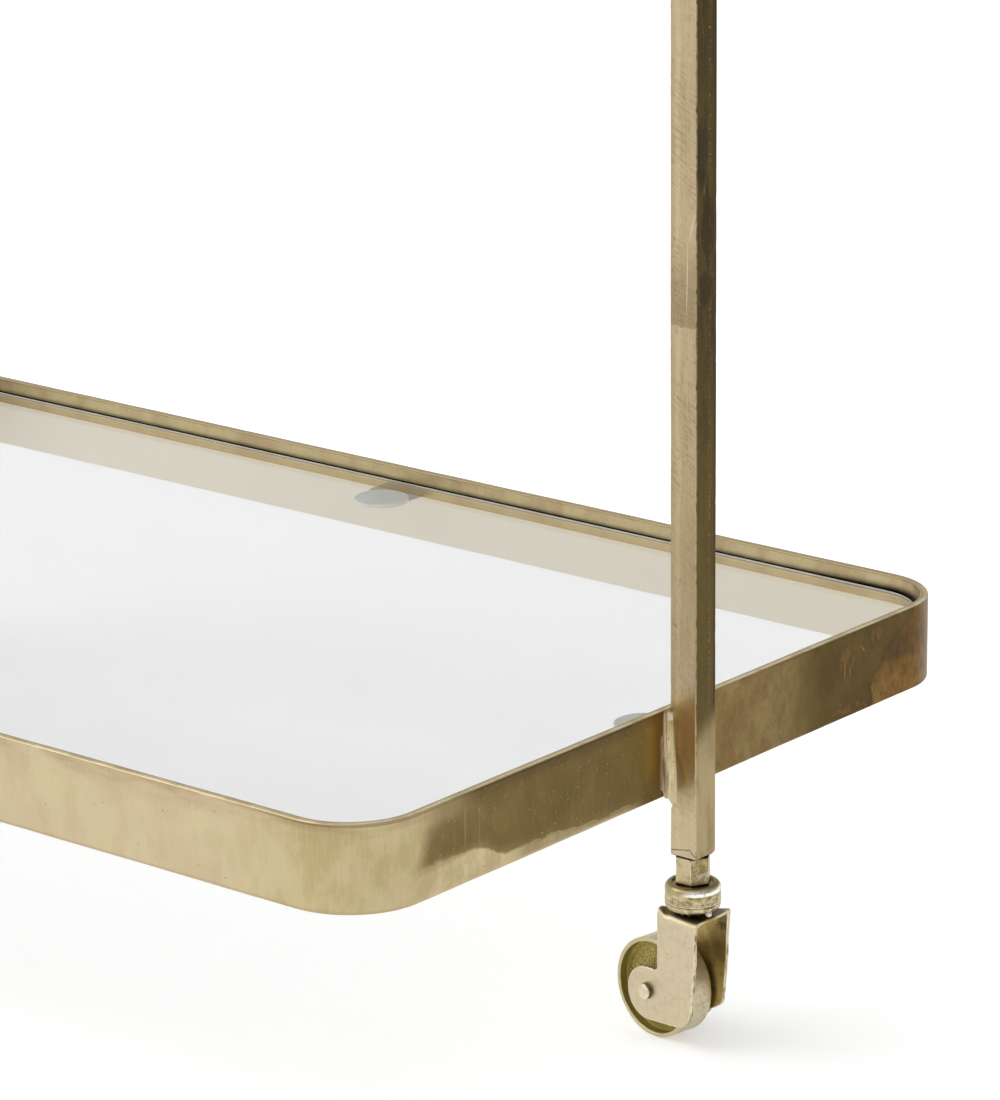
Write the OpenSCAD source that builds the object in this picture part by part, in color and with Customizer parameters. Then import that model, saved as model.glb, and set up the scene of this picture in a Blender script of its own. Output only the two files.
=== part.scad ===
// Bar cart: two glass trays in flat-bar rims, held between three square posts that stand on casters.
// Z = 0 is the floor, +X points to the end with the single post, and the origin is midway along the cart.

/* [Trays] */
// Length of a tray over its rim
tray_l = 710; // [560:5:900]
// Width of a tray over its rim
tray_w = 450; // [380:5:560]
// Rise from the lower tray to the upper tray
tray_rise = 540; // [440:5:620]
// Height of the rim's flat bar
rim_h = 42; // [32:1:60]
// Thickness of the rim's flat bar
rim_t = 4; // [3:0.5:6]
// Outside radius of the rim's corners
corner_r = 38; // [25:1:50]

/* [Glass] */
// Thickness of the glass sheets
glass_t = 5; // [4:0.5:8]
// Drop from the top of the rim to the glass
glass_drop = 7; // [4:0.5:10]
// Gap between the glass and the rim
glass_gap = 2.5; // [1.5:0.5:6]

/* [Tabs and pads] */
// Width of a glass tab along the rim
tab_w = 26; // [24:1:50]
// Reach of a glass tab from the rim
tab_l = 18; // [12:1:26]
// Thickness of a glass tab
tab_t = 3; // [2:0.5:5]
// Distance of each tab from the middle of its side
tab_shift = 0; // [0:1:30]
// Radius of a clear pad
pad_r = 14.5; // [10:0.5:18]
// Thickness of a clear pad
pad_t = 2.2; // [1.5:0.1:3]
// Overlap of a full pad, on a long side, on its tab
side_pad_hold = 4.5; // [2:0.5:8]
// Slide of a full pad along the rim from the middle of its tab
side_pad_slide = 7.5; // [0:0.5:9]
// Distance from the rim to the middle of a cut pad, on a short side
end_pad_in = 7.5; // [2:0.5:10]
// Slide of a cut pad along the rim from the middle of its tab
end_pad_slide = 12; // [0:0.5:14]

/* [Posts] */
// Width of the square posts
post_w = 15; // [12:0.5:20]
// Wall of the square posts
post_wall = 1.5; // [1:0.25:3]
// Reach of the posts below the lower rim
post_drop = 29.5; // [15:0.5:50]
// Flat rim left between a back post and the corner
back_flat = 14.5; // [8:0.5:60]
// Thickness of the plates that close the posts
plug_t = 3; // [2:0.5:5]
// Depth of the plug inside a post
spigot_l = 14; // [8:1:24]
// Reach of the braze fillets along the rim
braze_reach = 8; // [6:0.5:10]
// Height of the braze fillets on the post's side
braze_rise = 4; // [3:0.5:5]

/* [Casters] */
// Angle that the casters stand at
caster_turn = -8.5; // [-30:0.5:30]
// Radius of the wheels
wheel_r = 24.3; // [20:0.1:30]
// Width of the wheels
wheel_w = 15.2; // [12:0.1:18]
// Wall of a wheel's rim
wheel_wall = 2.1; // [1.5:0.1:4]
// Depth of the recess in a wheel's side
recess_d = 4.6; // [2:0.1:5]
// Radius of a wheel's hub
hub_r = 6.5; // [5:0.1:9]
// Distance of the axle behind the swivel
trail = 19.3; // [14:0.1:26]
// Rise from the axle to the top of the fork
fork_h = 41.4; // [38:0.1:50]
// Width of the fork across its plates
fork_w = 22.8; // [21:0.1:28]
// Thickness of the fork's plate
fork_t = 2; // [1.5:0.1:2.6]
// Half the length of the fork's top
fork_half_l = 12.6; // [11:0.1:16]
// Outside radius of the fork's bends
fork_bend = 3.2; // [2.8:0.1:5]
// Radius of the axle rivet
rivet_r = 2.5; // [2:0.1:3.5]
// Radius of the king pin
pin_r = 4; // [3:0.1:4.5]
// Width of the hexagon across its flats
hex_w = 15.2; // [13:0.1:17]
// Height of the hexagon
hex_h = 13.5; // [8:0.5:20]
// Turn of the hexagon about the post
hex_turn = 2; // [0:1:60]
// Radius of the ball race
race_r = 13.1; // [12.5:0.1:16]
// Height of the ball race
race_h = 13.5; // [10:0.5:16]
// Radius of the race's lower lip
lip_r = 10.5; // [10.5:0.1:12]
// Radius of the race balls
ball_r = 1.6; // [1.3:0.1:1.8]
// Radius of the circle that the balls run on
track_r = 7.9; // [7.5:0.1:8.2]
// Gap between the race and the fork
race_gap = 2; // [1.6:0.1:2.6]
// Angle of the ball that shows at the lip of the front race
slack_turn = -11; // [-40:1:40]

/* [Hidden] */
$fn = 96;

// Colours as the photograph shows them
brass = [0.66, 0.57, 0.40];
dark_brass = [0.47, 0.39, 0.24];
pale_brass = [0.72, 0.66, 0.52];
clear_glass = [0.90, 0.93, 0.92, 0.5];

// Clearances
run = 0.08;        // radial play of a turning fit
slip = 0.05;       // play of a piece that is pushed in and fixed
side_play = 0.3;   // gap between flat faces that turn past each other

// Heights, counted up from the floor
axle_z = wheel_r;
fork_z = axle_z + fork_h;
race_z = fork_z + race_gap;
hex_z = race_z + race_h;
foot_z = hex_z + hex_h;
lower_z = foot_z + post_drop;
upper_z = lower_z + tray_rise;
post_top = upper_z + rim_h;

// The cart's ends: the back wheels reach furthest one way, the front race or fork the other
turn_c = cos(caster_turn);
turn_s = abs(sin(caster_turn));
fork_reach = fork_half_l * turn_c + fork_w / 2 * turn_s;
wheel_reach = (trail + wheel_r) * turn_c + wheel_w / 2 * turn_s;
front_reach = post_w / 2 + max(race_r, fork_reach);
back_reach = tray_l + post_w / 2 + wheel_reach;
front_x = (back_reach - front_reach) / 2;
tray_x = front_x - tray_l / 2;
back_x = front_x - tray_l;
back_post_y = tray_w / 2 - corner_r - back_flat - post_w / 2;

// Levels inside a tray, counted up from the bottom of its rim
glass_lo = rim_h - glass_drop - glass_t;
pad_lo = glass_lo - pad_t;
tab_lo = pad_lo - tab_t;

// Small details
cap_t = plug_t - 0.5;
stud_l = spigot_l + plug_t - 2;
foot_cut = 2.2;
foot_rise = plug_t * 0.95;
hex_r = hex_w / 2 / cos(30);
groove_r = hex_r + 0.95;
groove_d = 1.2;
spacer_room = 1.5;
hub_half = fork_w / 2 - fork_t - spacer_room;
pocket_r = ball_r + slip;
ball_n = floor(180 / asin(ball_r * 1.04 / track_r));
slack_r = lip_r + 0.45;
lobe_r = fork_half_l + 0.6;
lobe_dip = 1.8;
toe_r = fork_half_l - 0.8;
toe_in = 2.2;
toe_lean = 6;
notch_r = 2;
peen_r = pin_r + 2.5;
peen_t = 1.6;
head_r = rivet_r + 0.3;
head_t = 2;

// The rim's centre lines are straight bars joined by quarter rings
module ring_band(length, width, radius, thick, height) {
    for (sx = [-1, 1]) {
        translate([sx * (length - thick) / 2 - thick / 2, radius - width / 2, 0])
            cube([thick, width - 2 * radius, height]);
        translate([radius - length / 2, sx * (width - thick) / 2 - thick / 2, 0])
            cube([length - 2 * radius, thick, height]);
    }
    for (k = [0:3]) {
        sx = k == 0 || k == 3 ? 1 : -1;
        sy = k < 2 ? 1 : -1;
        translate([sx * (length / 2 - radius), sy * (width / 2 - radius), 0])
            rotate([0, 0, 90 * k])
                rotate_extrude(angle = 90) translate([radius - thick, 0]) square([thick, height]);
    }
}

module rounded_sheet(length, width, radius, thick) {
    translate([-length / 2, radius - width / 2, 0]) cube([length, width - 2 * radius, thick]);
    translate([radius - length / 2, -width / 2, 0]) cube([length - 2 * radius, width, thick]);
    for (sx = [-1, 1], sy = [-1, 1])
        translate([sx * (length / 2 - radius), sy * (width / 2 - radius), 0])
            cylinder(r = radius, h = thick);
}

module rim() {
    color(brass) translate([tray_x, 0, 0]) ring_band(tray_l, tray_w, corner_r, rim_t, rim_h);
}

module glass() {
    inset = 2 * (rim_t + glass_gap);
    color(clear_glass) translate([tray_x, 0, glass_lo])
        rounded_sheet(tray_l - inset, tray_w - inset, corner_r - rim_t - glass_gap, glass_t);
}

// Puts a child at the inner face of each side in turn: it points inwards along -X, shifted along the side
module each_side(shift, ends, sides) {
    if (ends) {
        translate([tray_x + tray_l / 2 - rim_t, -shift, 0]) children();
        translate([tray_x - tray_l / 2 + rim_t, shift, 0]) rotate([0, 0, 180]) children();
    }
    if (sides) {
        translate([tray_x + shift, tray_w / 2 - rim_t, 0]) rotate([0, 0, 90]) children();
        translate([tray_x - shift, rim_t - tray_w / 2, 0]) rotate([0, 0, -90]) children();
    }
}

module tabs() {
    nose_r = tab_l / 3;
    color(dark_brass) translate([0, 0, tab_lo]) each_side(tab_shift, true, true) {
        translate([nose_r - tab_l, -tab_w / 2, 0]) cube([tab_l - nose_r, tab_w, tab_t]);
        translate([-tab_l, nose_r - tab_w / 2, 0]) cube([nose_r, tab_w - 2 * nose_r, tab_t]);
        for (s = [-1, 1])
            translate([nose_r - tab_l, s * (tab_w / 2 - nose_r), 0]) cylinder(r = nose_r, h = tab_t);
    }
}

// The pads on the short sides are cut flat where they meet the rim
module pads() {
    color(clear_glass) translate([0, 0, pad_lo]) {
        each_side(tab_shift + side_pad_slide, false, true)
            translate([side_pad_hold - tab_l - pad_r, 0, 0]) cylinder(r = pad_r, h = pad_t);
        each_side(tab_shift + end_pad_slide, true, false) intersection() {
            translate([-end_pad_in, 0, 0]) cylinder(r = pad_r, h = pad_t);
            translate([-2 * pad_r - slip, -pad_r, 0]) cube([2 * pad_r, 2 * pad_r, pad_t]);
        }
    }
}

// Puts a child on a post's centre line, with the rim that it is brazed to on the child's -X side
module at_front() {
    translate([front_x + post_w / 2, 0, 0]) children();
}
module at_left() {
    translate([back_x - post_w / 2, back_post_y, 0]) rotate([0, 0, 180]) children();
}
module at_right() {
    translate([back_x - post_w / 2, -back_post_y, 0]) rotate([0, 0, 180]) children();
}

module post() {
    h = post_top - cap_t - foot_z - plug_t;
    inner = post_w - 2 * post_wall;
    color(brass) translate([0, 0, foot_z + plug_t + h / 2]) difference() {
        cube([post_w, post_w, h], center = true);
        cube([inner, inner, h + 2], center = true);
    }
}

// Plate that closes a post, with a spigot that fills the tube; it is drawn with the spigot upwards
module end_plate(thick, depth) {
    inner = post_w - 2 * post_wall - 2 * slip;
    translate([-post_w / 2, -post_w / 2, 0]) cube([post_w, post_w, thick]);
    translate([-inner / 2, -inner / 2, thick]) cube([inner, inner, depth]);
}

// The foot plate's outer far corner is filed off, and its hole takes the stem's stud
module plug() {
    corner = post_w / 2;
    color(pale_brass) translate([0, 0, foot_z]) difference() {
        end_plate(plug_t, spigot_l);
        translate([0, 0, -1]) cylinder(r = pin_r + slip, h = stud_l + slip + 1);
        translate([corner, corner, 0]) rotate([0, 0, 45]) translate([-foot_cut, 0, 0])
            rotate([0, -atan(foot_rise / foot_cut), 0])
                translate([0, -post_w, -post_w]) cube([2 * post_w, 2 * post_w, post_w]);
    }
}

module cap() {
    color(brass) translate([0, 0, post_top]) mirror([0, 0, 1]) end_plate(cap_t, spigot_l / 2);
}

// Two hollow fillets fill the corners between a post and the rim: they run out flush with the rim
module braze(z) {
    bow_r = (pow(braze_reach, 2) + pow(braze_rise, 2)) / braze_rise / 2;
    color(dark_brass) translate([-post_w / 2, 0, z]) for (s = [0, 1]) mirror([0, s, 0])
        translate([0, post_w / 2, 0]) difference() {
            cube([braze_rise, braze_reach, rim_h]);
            translate([bow_r, braze_reach, -1]) cylinder(r = bow_r, h = rim_h + 2);
        }
}

// Stud, hexagon and king pin in one piece: the stud is screwed into the post's foot
module stem() {
    bottom = fork_z - fork_t - side_play - peen_t;
    color(pale_brass) {
        translate([0, 0, foot_z]) cylinder(r = pin_r, h = stud_l);
        translate([0, 0, hex_z - groove_d]) rotate([0, 0, hex_turn])
            cylinder(r = hex_r, h = hex_h + groove_d, $fn = 6);
        translate([0, 0, bottom]) cylinder(r = pin_r, h = hex_z - groove_d - bottom);
    }
}

// Turned race: domed shoulder, drawn-in lip, groove round the hexagon and a track for the balls
module race(pull) {
    shoulder = race_r - groove_r - 0.6;
    lip_h = race_h * 0.23;
    color(pale_brass) translate([0, 0, race_z]) difference() {
        rotate_extrude() {
            polygon([[pin_r + slip, 0], [lip_r, 0], [race_r, lip_h], [race_r, race_h - shoulder],
                [race_r - shoulder, race_h - shoulder], [race_r - shoulder, race_h],
                [groove_r, race_h], [groove_r, race_h - groove_d], [pin_r + slip, race_h - groove_d]]);
            translate([race_r - shoulder, race_h - shoulder]) intersection() {
                circle(r = shoulder);
                square(shoulder);
            }
        }
        translate([0, 0, ball_r + side_play - race_gap])
            rotate_extrude() translate([track_r, 0]) circle(r = pocket_r, $fn = 48);
        if (pull) place_ball(slack_r, 0, -race_z) sphere(r = pocket_r, $fn = 48);
    }
}

// Puts a child at a ball's centre; angles are counted from the ball that shows
module place_ball(radius, angle, z = 0) {
    rotate([0, 0, slack_turn + angle])
        translate([radius, 0, z + fork_z + side_play + ball_r]) children();
}

// With pull, one ball has worked its way out to the lip
module balls(pull) {
    color("whitesmoke") for (k = [0:ball_n - 1])
        place_ball(pull && k == 0 ? slack_r : track_r, 360 * k / ball_n) sphere(r = ball_r, $fn = 32);
}

// Washer that holds the fork up on the king pin
module peen() {
    top = fork_z - fork_t - side_play;
    color(pale_brass) translate([0, 0, top - peen_t]) {
        difference() {
            cylinder(r = peen_r, h = peen_t);
            translate([0, 0, -1]) cylinder(r = pin_r + slip, h = peen_t + 2);
        }
        translate([0, 0, -1]) cylinder(r1 = pin_r - 0.8, r2 = pin_r + 0.6, h = 1);
    }
}

// Turns a child with the fork, at rest; a left or right post's own half turn is undone first
module turned(half_turn) {
    rotate([0, 0, caster_turn + half_turn]) children();
}

// Outline of a fork's side, drawn round the axle's level: a strap that widens into a round lobe behind
module fork_side() {
    heel = [-trail, -lobe_dip];
    toe = [fork_half_l - toe_r - toe_in, -lobe_dip];
    slope = asin((lobe_r - toe_r) / (toe[0] - heel[0]));
    below = [sin(slope), -cos(slope)];
    front = toe + toe_r * [cos(toe_lean), sin(toe_lean)];
    knee = front[1] + (fork_half_l - front[0]) / tan(toe_lean);
    shelf = lobe_r - lobe_dip;
    translate(heel) circle(r = lobe_r);
    translate(toe) circle(r = toe_r);
    polygon([heel, heel + lobe_r * below, toe + toe_r * below, toe, front, [fork_half_l, knee],
        [fork_half_l, fork_h], [-fork_half_l, fork_h], [-fork_half_l, shelf], [-trail, shelf]]);
    difference() {
        translate([-fork_half_l - notch_r, shelf - notch_r]) square(2 * notch_r);
        translate([-fork_half_l - notch_r, shelf + notch_r]) circle(r = notch_r, $fn = 48);
    }
}

// Section across a bent strap, open below
module bent_strap(width, bend, top, bottom) {
    half = width / 2 - bend;
    translate([-width / 2, bottom]) square([width, top - bend - bottom]);
    translate([-half, bottom]) square([2 * half, top - bottom]);
    for (s = [-1, 1]) translate([s * half, top - bend]) circle(r = bend, $fn = 64);
}

// One strap bent to an inverted U over the wheel
module fork() {
    far = trail + 3 * fork_half_l;
    deep = fork_h;
    color(pale_brass) translate([0, 0, axle_z]) difference() {
        intersection() {
            rotate([90, 0, 0]) translate([0, 0, -fork_w]) linear_extrude(2 * fork_w) fork_side();
            rotate([90, 0, 90]) translate([0, 0, -far]) linear_extrude(2 * far) difference() {
                bent_strap(fork_w, fork_bend, fork_h, -deep);
                bent_strap(fork_w - 2 * fork_t, fork_bend - fork_t, fork_h - fork_t, -deep - 1);
            }
        }
        translate([0, 0, fork_h - 2 * fork_t]) cylinder(r = pin_r + run, h = 3 * fork_t);
        translate([-trail, 0, 0]) rotate([90, 0, 0]) cylinder(r = rivet_r + slip, h = 2 * fork_w, center = true);
    }
}

// Axle rivet, with a raised head on each side of the fork
module rivet() {
    color(pale_brass) translate([-trail, 0, axle_z]) rotate([90, 0, 0]) {
        cylinder(r = rivet_r, h = fork_w, center = true);
        for (s = [-1, 1]) translate([0, 0, s * (fork_w / 2 + head_t / 2)])
            cylinder(r = head_r, h = head_t, center = true);
    }
}

// Washers that fill the space between the fork's plates and the hub
module spacers() {
    thick = spacer_room - side_play;
    color(dark_brass) translate([-trail, 0, axle_z]) rotate([90, 0, 0])
        for (s = [-1, 1]) translate([0, 0, s * (hub_half + side_play + thick / 2)]) difference() {
            cylinder(r = hub_r - 0.5, h = thick, center = true);
            cylinder(r = rivet_r + slip, h = thick + 1, center = true);
        }
}

// Cast wheel: a rounded tread, a recess on each side, a web and a hub
module wheel() {
    half = wheel_w / 2;
    edge = wheel_wall * 0.45;
    web = half - recess_d;
    bore_r = rivet_r + run;
    well_r = wheel_r - wheel_wall;
    color(pale_brass) translate([-trail, 0, axle_z]) rotate([90, 0, 0]) rotate_extrude() {
        translate([bore_r, -hub_half]) square([hub_r - bore_r, 2 * hub_half]);
        translate([hub_r - 1, -web]) square([well_r - hub_r + 2, 2 * web]);
        translate([well_r, -half]) square([wheel_wall - edge, 2 * half]);
        translate([well_r, edge - half]) square([wheel_wall, 2 * (half - edge)]);
        for (s = [-1, 1]) translate([wheel_r - edge, s * (half - edge)]) circle(r = edge, $fn = 32);
    }
}

module lower_rim() { translate([0, 0, lower_z]) rim(); }
module upper_rim() { translate([0, 0, upper_z]) rim(); }
module lower_glass() { translate([0, 0, lower_z]) glass(); }
module upper_glass() { translate([0, 0, upper_z]) glass(); }
module lower_tabs() { translate([0, 0, lower_z]) tabs(); }
module upper_tabs() { translate([0, 0, upper_z]) tabs(); }
module lower_pads() { translate([0, 0, lower_z]) pads(); }
module upper_pads() { translate([0, 0, upper_z]) pads(); }

lower_rim();
upper_rim();
lower_glass();
upper_glass();
lower_tabs();
upper_tabs();
lower_pads();
upper_pads();

at_front() post();  // front_post
at_front() plug();  // front_plug
at_front() cap();  // front_cap
at_front() braze(lower_z);  // front_lower_braze
at_front() braze(upper_z);  // front_upper_braze
at_front() stem();  // front_stem
at_front() race(true);  // front_race
at_front() balls(true);  // front_balls
at_front() peen();  // front_peen
at_front() turned(0) fork();  // front_fork
at_front() turned(0) rivet();  // front_rivet
at_front() turned(0) spacers();  // front_spacers
at_front() turned(0) wheel();  // front_wheel

at_left() post();  // left_post
at_left() plug();  // left_plug
at_left() cap();  // left_cap
at_left() braze(lower_z);  // left_lower_braze
at_left() braze(upper_z);  // left_upper_braze
at_left() stem();  // left_stem
at_left() race(false);  // left_race
at_left() balls(false);  // left_balls
at_left() peen();  // left_peen
at_left() turned(180) fork();  // left_fork
at_left() turned(180) rivet();  // left_rivet
at_left() turned(180) spacers();  // left_spacers
at_left() turned(180) wheel();  // left_wheel

at_right() post();  // right_post
at_right() plug();  // right_plug
at_right() cap();  // right_cap
at_right() braze(lower_z);  // right_lower_braze
at_right() braze(upper_z);  // right_upper_braze
at_right() stem();  // right_stem
at_right() race(false);  // right_race
at_right() balls(false);  // right_balls
at_right() peen();  // right_peen
at_right() turned(180) fork();  // right_fork
at_right() turned(180) rivet();  // right_rivet
at_right() turned(180) spacers();  // right_spacers
at_right() turned(180) wheel();  // right_wheel
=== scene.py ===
import math

import bmesh
import bpy
from mathutils import Matrix, Vector, noise


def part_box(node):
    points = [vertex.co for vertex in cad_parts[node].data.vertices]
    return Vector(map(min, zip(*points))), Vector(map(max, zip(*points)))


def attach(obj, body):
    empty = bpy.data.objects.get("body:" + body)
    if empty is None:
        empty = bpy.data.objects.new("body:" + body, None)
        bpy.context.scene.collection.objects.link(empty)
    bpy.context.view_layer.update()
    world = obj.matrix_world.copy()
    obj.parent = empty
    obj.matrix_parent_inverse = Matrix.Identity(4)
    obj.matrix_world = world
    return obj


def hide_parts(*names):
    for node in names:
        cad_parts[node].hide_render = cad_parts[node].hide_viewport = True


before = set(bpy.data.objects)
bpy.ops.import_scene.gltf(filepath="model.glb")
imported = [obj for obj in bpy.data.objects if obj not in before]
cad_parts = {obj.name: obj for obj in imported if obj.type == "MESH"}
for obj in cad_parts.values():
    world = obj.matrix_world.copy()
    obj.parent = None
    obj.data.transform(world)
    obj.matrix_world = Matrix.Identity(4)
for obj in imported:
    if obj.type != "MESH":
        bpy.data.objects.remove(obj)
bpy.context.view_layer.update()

scene = bpy.context.scene


# Camera
# It stands low and well off the cart's front right corner. Its place was worked out from the corners
# and edges of the lower tray's front end, which fills most of the photograph.
tray_lo, tray_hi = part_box("lower_rim")
camera = bpy.data.objects.new("camera", bpy.data.cameras.new("camera"))
scene.collection.objects.link(camera)
scene.camera = camera
camera.data.sensor_width = 36
camera.data.lens = 5180.62 * 36 / 1100
camera.matrix_world = (
    Matrix.Translation((tray_hi.x + 1.377459, -1.793806, tray_lo.z + 0.807719))
    @ Matrix.Rotation(0.6911964, 4, "Z")
    @ Matrix.Rotation(math.pi / 2 - 0.2966226, 4, "X")
    @ Matrix.Rotation(-0.0105677, 4, "Z")
)


# Studio
# A wide white floor under a pale backdrop that is bright on the left and dim on the right. One broad
# soft lamp hangs front left. The floor keeps the cart's shadow and looks white round it.
class Wire:
    """One output of a shader node. Sums on it add Math nodes, so 1 - mask is a wire too."""

    def __init__(self, tree, socket=None):
        self.tree, self.socket = tree, socket

    def node(self, kind, settings=None, sockets=None, out=0):
        """Adds a node. Its settings go first, then the values or wires of its sockets."""
        made = self.tree.nodes.new("ShaderNode" + kind)
        for name, value in (settings or {}).items():
            setattr(made, name, value)
        for name, value in (sockets or {}).items():
            if isinstance(value, Wire):
                self.tree.links.new(value.socket, made.inputs[name])
            else:
                made.inputs[name].default_value = value
        return Wire(self.tree, made.outputs[out] if len(made.outputs) else None)

    def sum(self, operation, *terms):
        return self.node("Math", {"operation": operation}, dict(enumerate(terms)))

    def __add__(self, other):
        return self.sum("ADD", self, other)

    def __sub__(self, other):
        return self.sum("SUBTRACT", self, other)

    def __rsub__(self, other):
        return self.sum("SUBTRACT", other, self)

    def __mul__(self, other):
        return self.sum("MULTIPLY", self, other)

    __radd__, __rmul__ = __add__, __mul__

    def either(self, other):
        return self.sum("MAXIMUM", self, other)

    def size(self):
        return self.sum("ABSOLUTE", self)

    def soft(self, low, high):
        """0 at low and 1 at high, turning evenly between them; with low above high it falls."""
        ends = {"Value": self, "From Min": low, "From Max": high}
        return self.node("MapRange", {"interpolation_type": "SMOOTHSTEP"}, ends)

    def band(self, low, high, fade):
        """1 between low and high, fading to 0 outside them."""
        return self.soft(low - fade, low) * self.soft(high + fade, high)

    def paint(self, under, over):
        """The colour under, with the colour over on the share that this wire gives. A colour is a
        wire, or red, green and blue from 0 to 255."""
        under, over = (c if isinstance(c, Wire) else tone(*c) for c in (under, over))
        return self.node("Mix", {"data_type": "RGBA"}, {0: self, 6: under, 7: over}, 2)

    def coats(self, *layers):
        """This colour with others painted over it in turn, each on the share that its mask gives."""
        colour = self
        for mask, over in layers:
            colour = mask.paint(colour, over)
        return colour

    def vector(self, operation, other, out=0):
        return self.node("VectorMath", {"operation": operation}, {0: self, 1: other}, out)

    def dot(self, way):
        return self.vector("DOT_PRODUCT", way, "Value")

    def length(self):
        return self.vector("LENGTH", (0, 0, 0), "Value")

    def parts(self):
        split = self.node("SeparateXYZ", None, {0: self}).socket.node
        return [Wire(self.tree, socket) for socket in split.outputs]

    def clouds(self, grain, detail=2.0, rough=0.5, warp=0.0):
        """Noise from 0 to 1 at this place; grain is the size of its lumps, in metres along each axis."""
        grain = (grain,) * 3 if isinstance(grain, float) else grain
        at = self.vector("MULTIPLY", tuple(1 / g for g in grain))
        how = {"Vector": at, "Scale": 1.0, "Detail": detail, "Roughness": rough, "Distortion": warp}
        return self.node("TexNoise", None, how)

    def specks(self, apart, radius, share, stretch=1.0):
        """1 on small specks, on a share of a jittered grid with this spacing, and 0 between them."""
        at = self.vector("MULTIPLY", (1 / apart, 1 / apart, 1 / apart / stretch))
        cell = at.node("TexVoronoi", None, {"Vector": at, "Scale": 1.0})
        chosen = Wire(self.tree, cell.socket.node.outputs["Color"]).parts()[0]
        return cell.soft(radius / apart, radius / apart * 0.5) * chosen.soft(1 - share, 1 - share * 0.6)


def tone(red, green, blue):
    """A colour as it looks on a screen, from 0 to 255, in the numbers that a shader takes."""
    return tuple(((c / 255 + 0.055) / 1.055) ** 2.4 for c in (red, green, blue)) + (1.0,)


def finish(name, build):
    """A material: build takes a bare wire and gives a surface, or what goes into a plain one's sockets."""
    made = bpy.data.materials.new(name)
    made.use_nodes = True
    made.node_tree.nodes.clear()
    bare = Wire(made.node_tree)
    surface = build(bare)
    if isinstance(surface, dict):
        surface = bare.node("BsdfPrincipled", None, surface)
    bare.node("OutputMaterial", None, {"Surface": surface})
    return made


def white_paper(bare):
    """White that shines a little by itself where it is seen, and still takes the cart's shadow."""
    seen = [bare.node("LightPath", out=ray) for ray in
            ("Is Camera Ray", "Is Glossy Ray", "Is Transmission Ray")]
    return {"Base Color": (0.8, 0.8, 0.8, 1), "Roughness": 0.95, "Specular IOR Level": 0.0,
            "Emission Color": (1, 1, 1, 1),
            "Emission Strength": 0.4 * seen[0].either(seen[1]).either(seen[2])}


scene.view_settings.view_transform = "Standard"
scene.world = bpy.data.worlds.new("backdrop")
scene.world.use_nodes = True
scene.world.node_tree.nodes.clear()
air = Wire(scene.world.node_tree)
way = air.node("TexCoord", out="Generated")
towards_lamp = way.dot((-0.92, -0.25, 0.3))
glow = {"Color": (1, 1, 1, 1), "Strength": 0.66 + towards_lamp * 0.45}
air.node("OutputWorld", None, {"Surface": air.node("Background", None, glow)})

lamp = bpy.data.objects.new("soft_lamp", bpy.data.lights.new("soft_lamp", "SUN"))
lamp.data.energy = 1.1
lamp.data.angle = math.radians(48)
lamp.matrix_world = Vector((-0.55, -0.6, 0.8)).to_track_quat("Z", "Y").to_matrix().to_4x4()
scene.collection.objects.link(lamp)

ring = bmesh.new()
bmesh.ops.create_circle(ring, cap_ends=True, segments=96, radius=32)
floor = bpy.data.objects.new("floor", bpy.data.meshes.new("floor"))
ring.to_mesh(floor.data)
scene.collection.objects.link(floor)
floor.data.materials.append(finish("white_floor", white_paper))


# Tray rims
# Each rim is one flat brass bar, 42 by 4 mm, set on edge and bent into a closed band with round
# corners. The long sides are pale and lightly brushed; the ends are painted dark, partly as stain
# and partly as painted shade.
rim_t, corner_r, glass_drop, glass_t = 0.004, 0.038, 0.007, 0.005
half_l, half_w = (tray_hi.x - tray_lo.x) / 2, (tray_hi.y - tray_lo.y) / 2
rim_h = tray_hi.z - tray_lo.z
tray_x = (tray_hi.x + tray_lo.x) / 2
upper_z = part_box("upper_rim")[0].z
back_post_y = 0.165


def eased(corners, radius, steps=4, gap=0.006, guard=0.0004):
    """A closed outline with rounded corners. Long sides get points, and one close to each corner."""
    points = []
    for k, corner in enumerate(corners):
        near = (corner, corners[k - 1], corners[k + 1 - len(corners)])
        here, before, after = (Vector(point).to_3d() for point in near)
        back, on = (before - here).normalized(), (after - here).normalized()
        bend = back.angle(on) / 2
        centre = here + (back + on).normalized() * radius / math.sin(bend)
        start, end = (here + way * radius / math.tan(bend) - centre for way in (back, on))
        arc = [centre + start.slerp(end, step / steps) * radius for step in range(steps + 1)]
        points += [arc[0] + back * guard] + arc + [arc[-1] + on * guard]
    full = []
    for k, here in enumerate(points):
        span = points[(k + 1) % len(points)] - here
        count = max(1, round(span.length / gap))
        full += [here + span * step / count for step in range(count)]
    return full


def round_corners(long, wide, radius, steps):
    """Arcs round the corners of a rectangle, given its corners' centres. Each point is x and y with
    the way outwards there."""
    for quarter in range(4):
        middle_x, middle_y = long * (1 if quarter in (0, 3) else -1), wide * (1 if quarter < 2 else -1)
        ways = [(quarter + step / steps) * math.pi / 2 for step in range(steps + 1)]
        yield [(middle_x + radius * math.cos(way), middle_y + radius * math.sin(way),
                math.cos(way), math.sin(way)) for way in ways]


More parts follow.
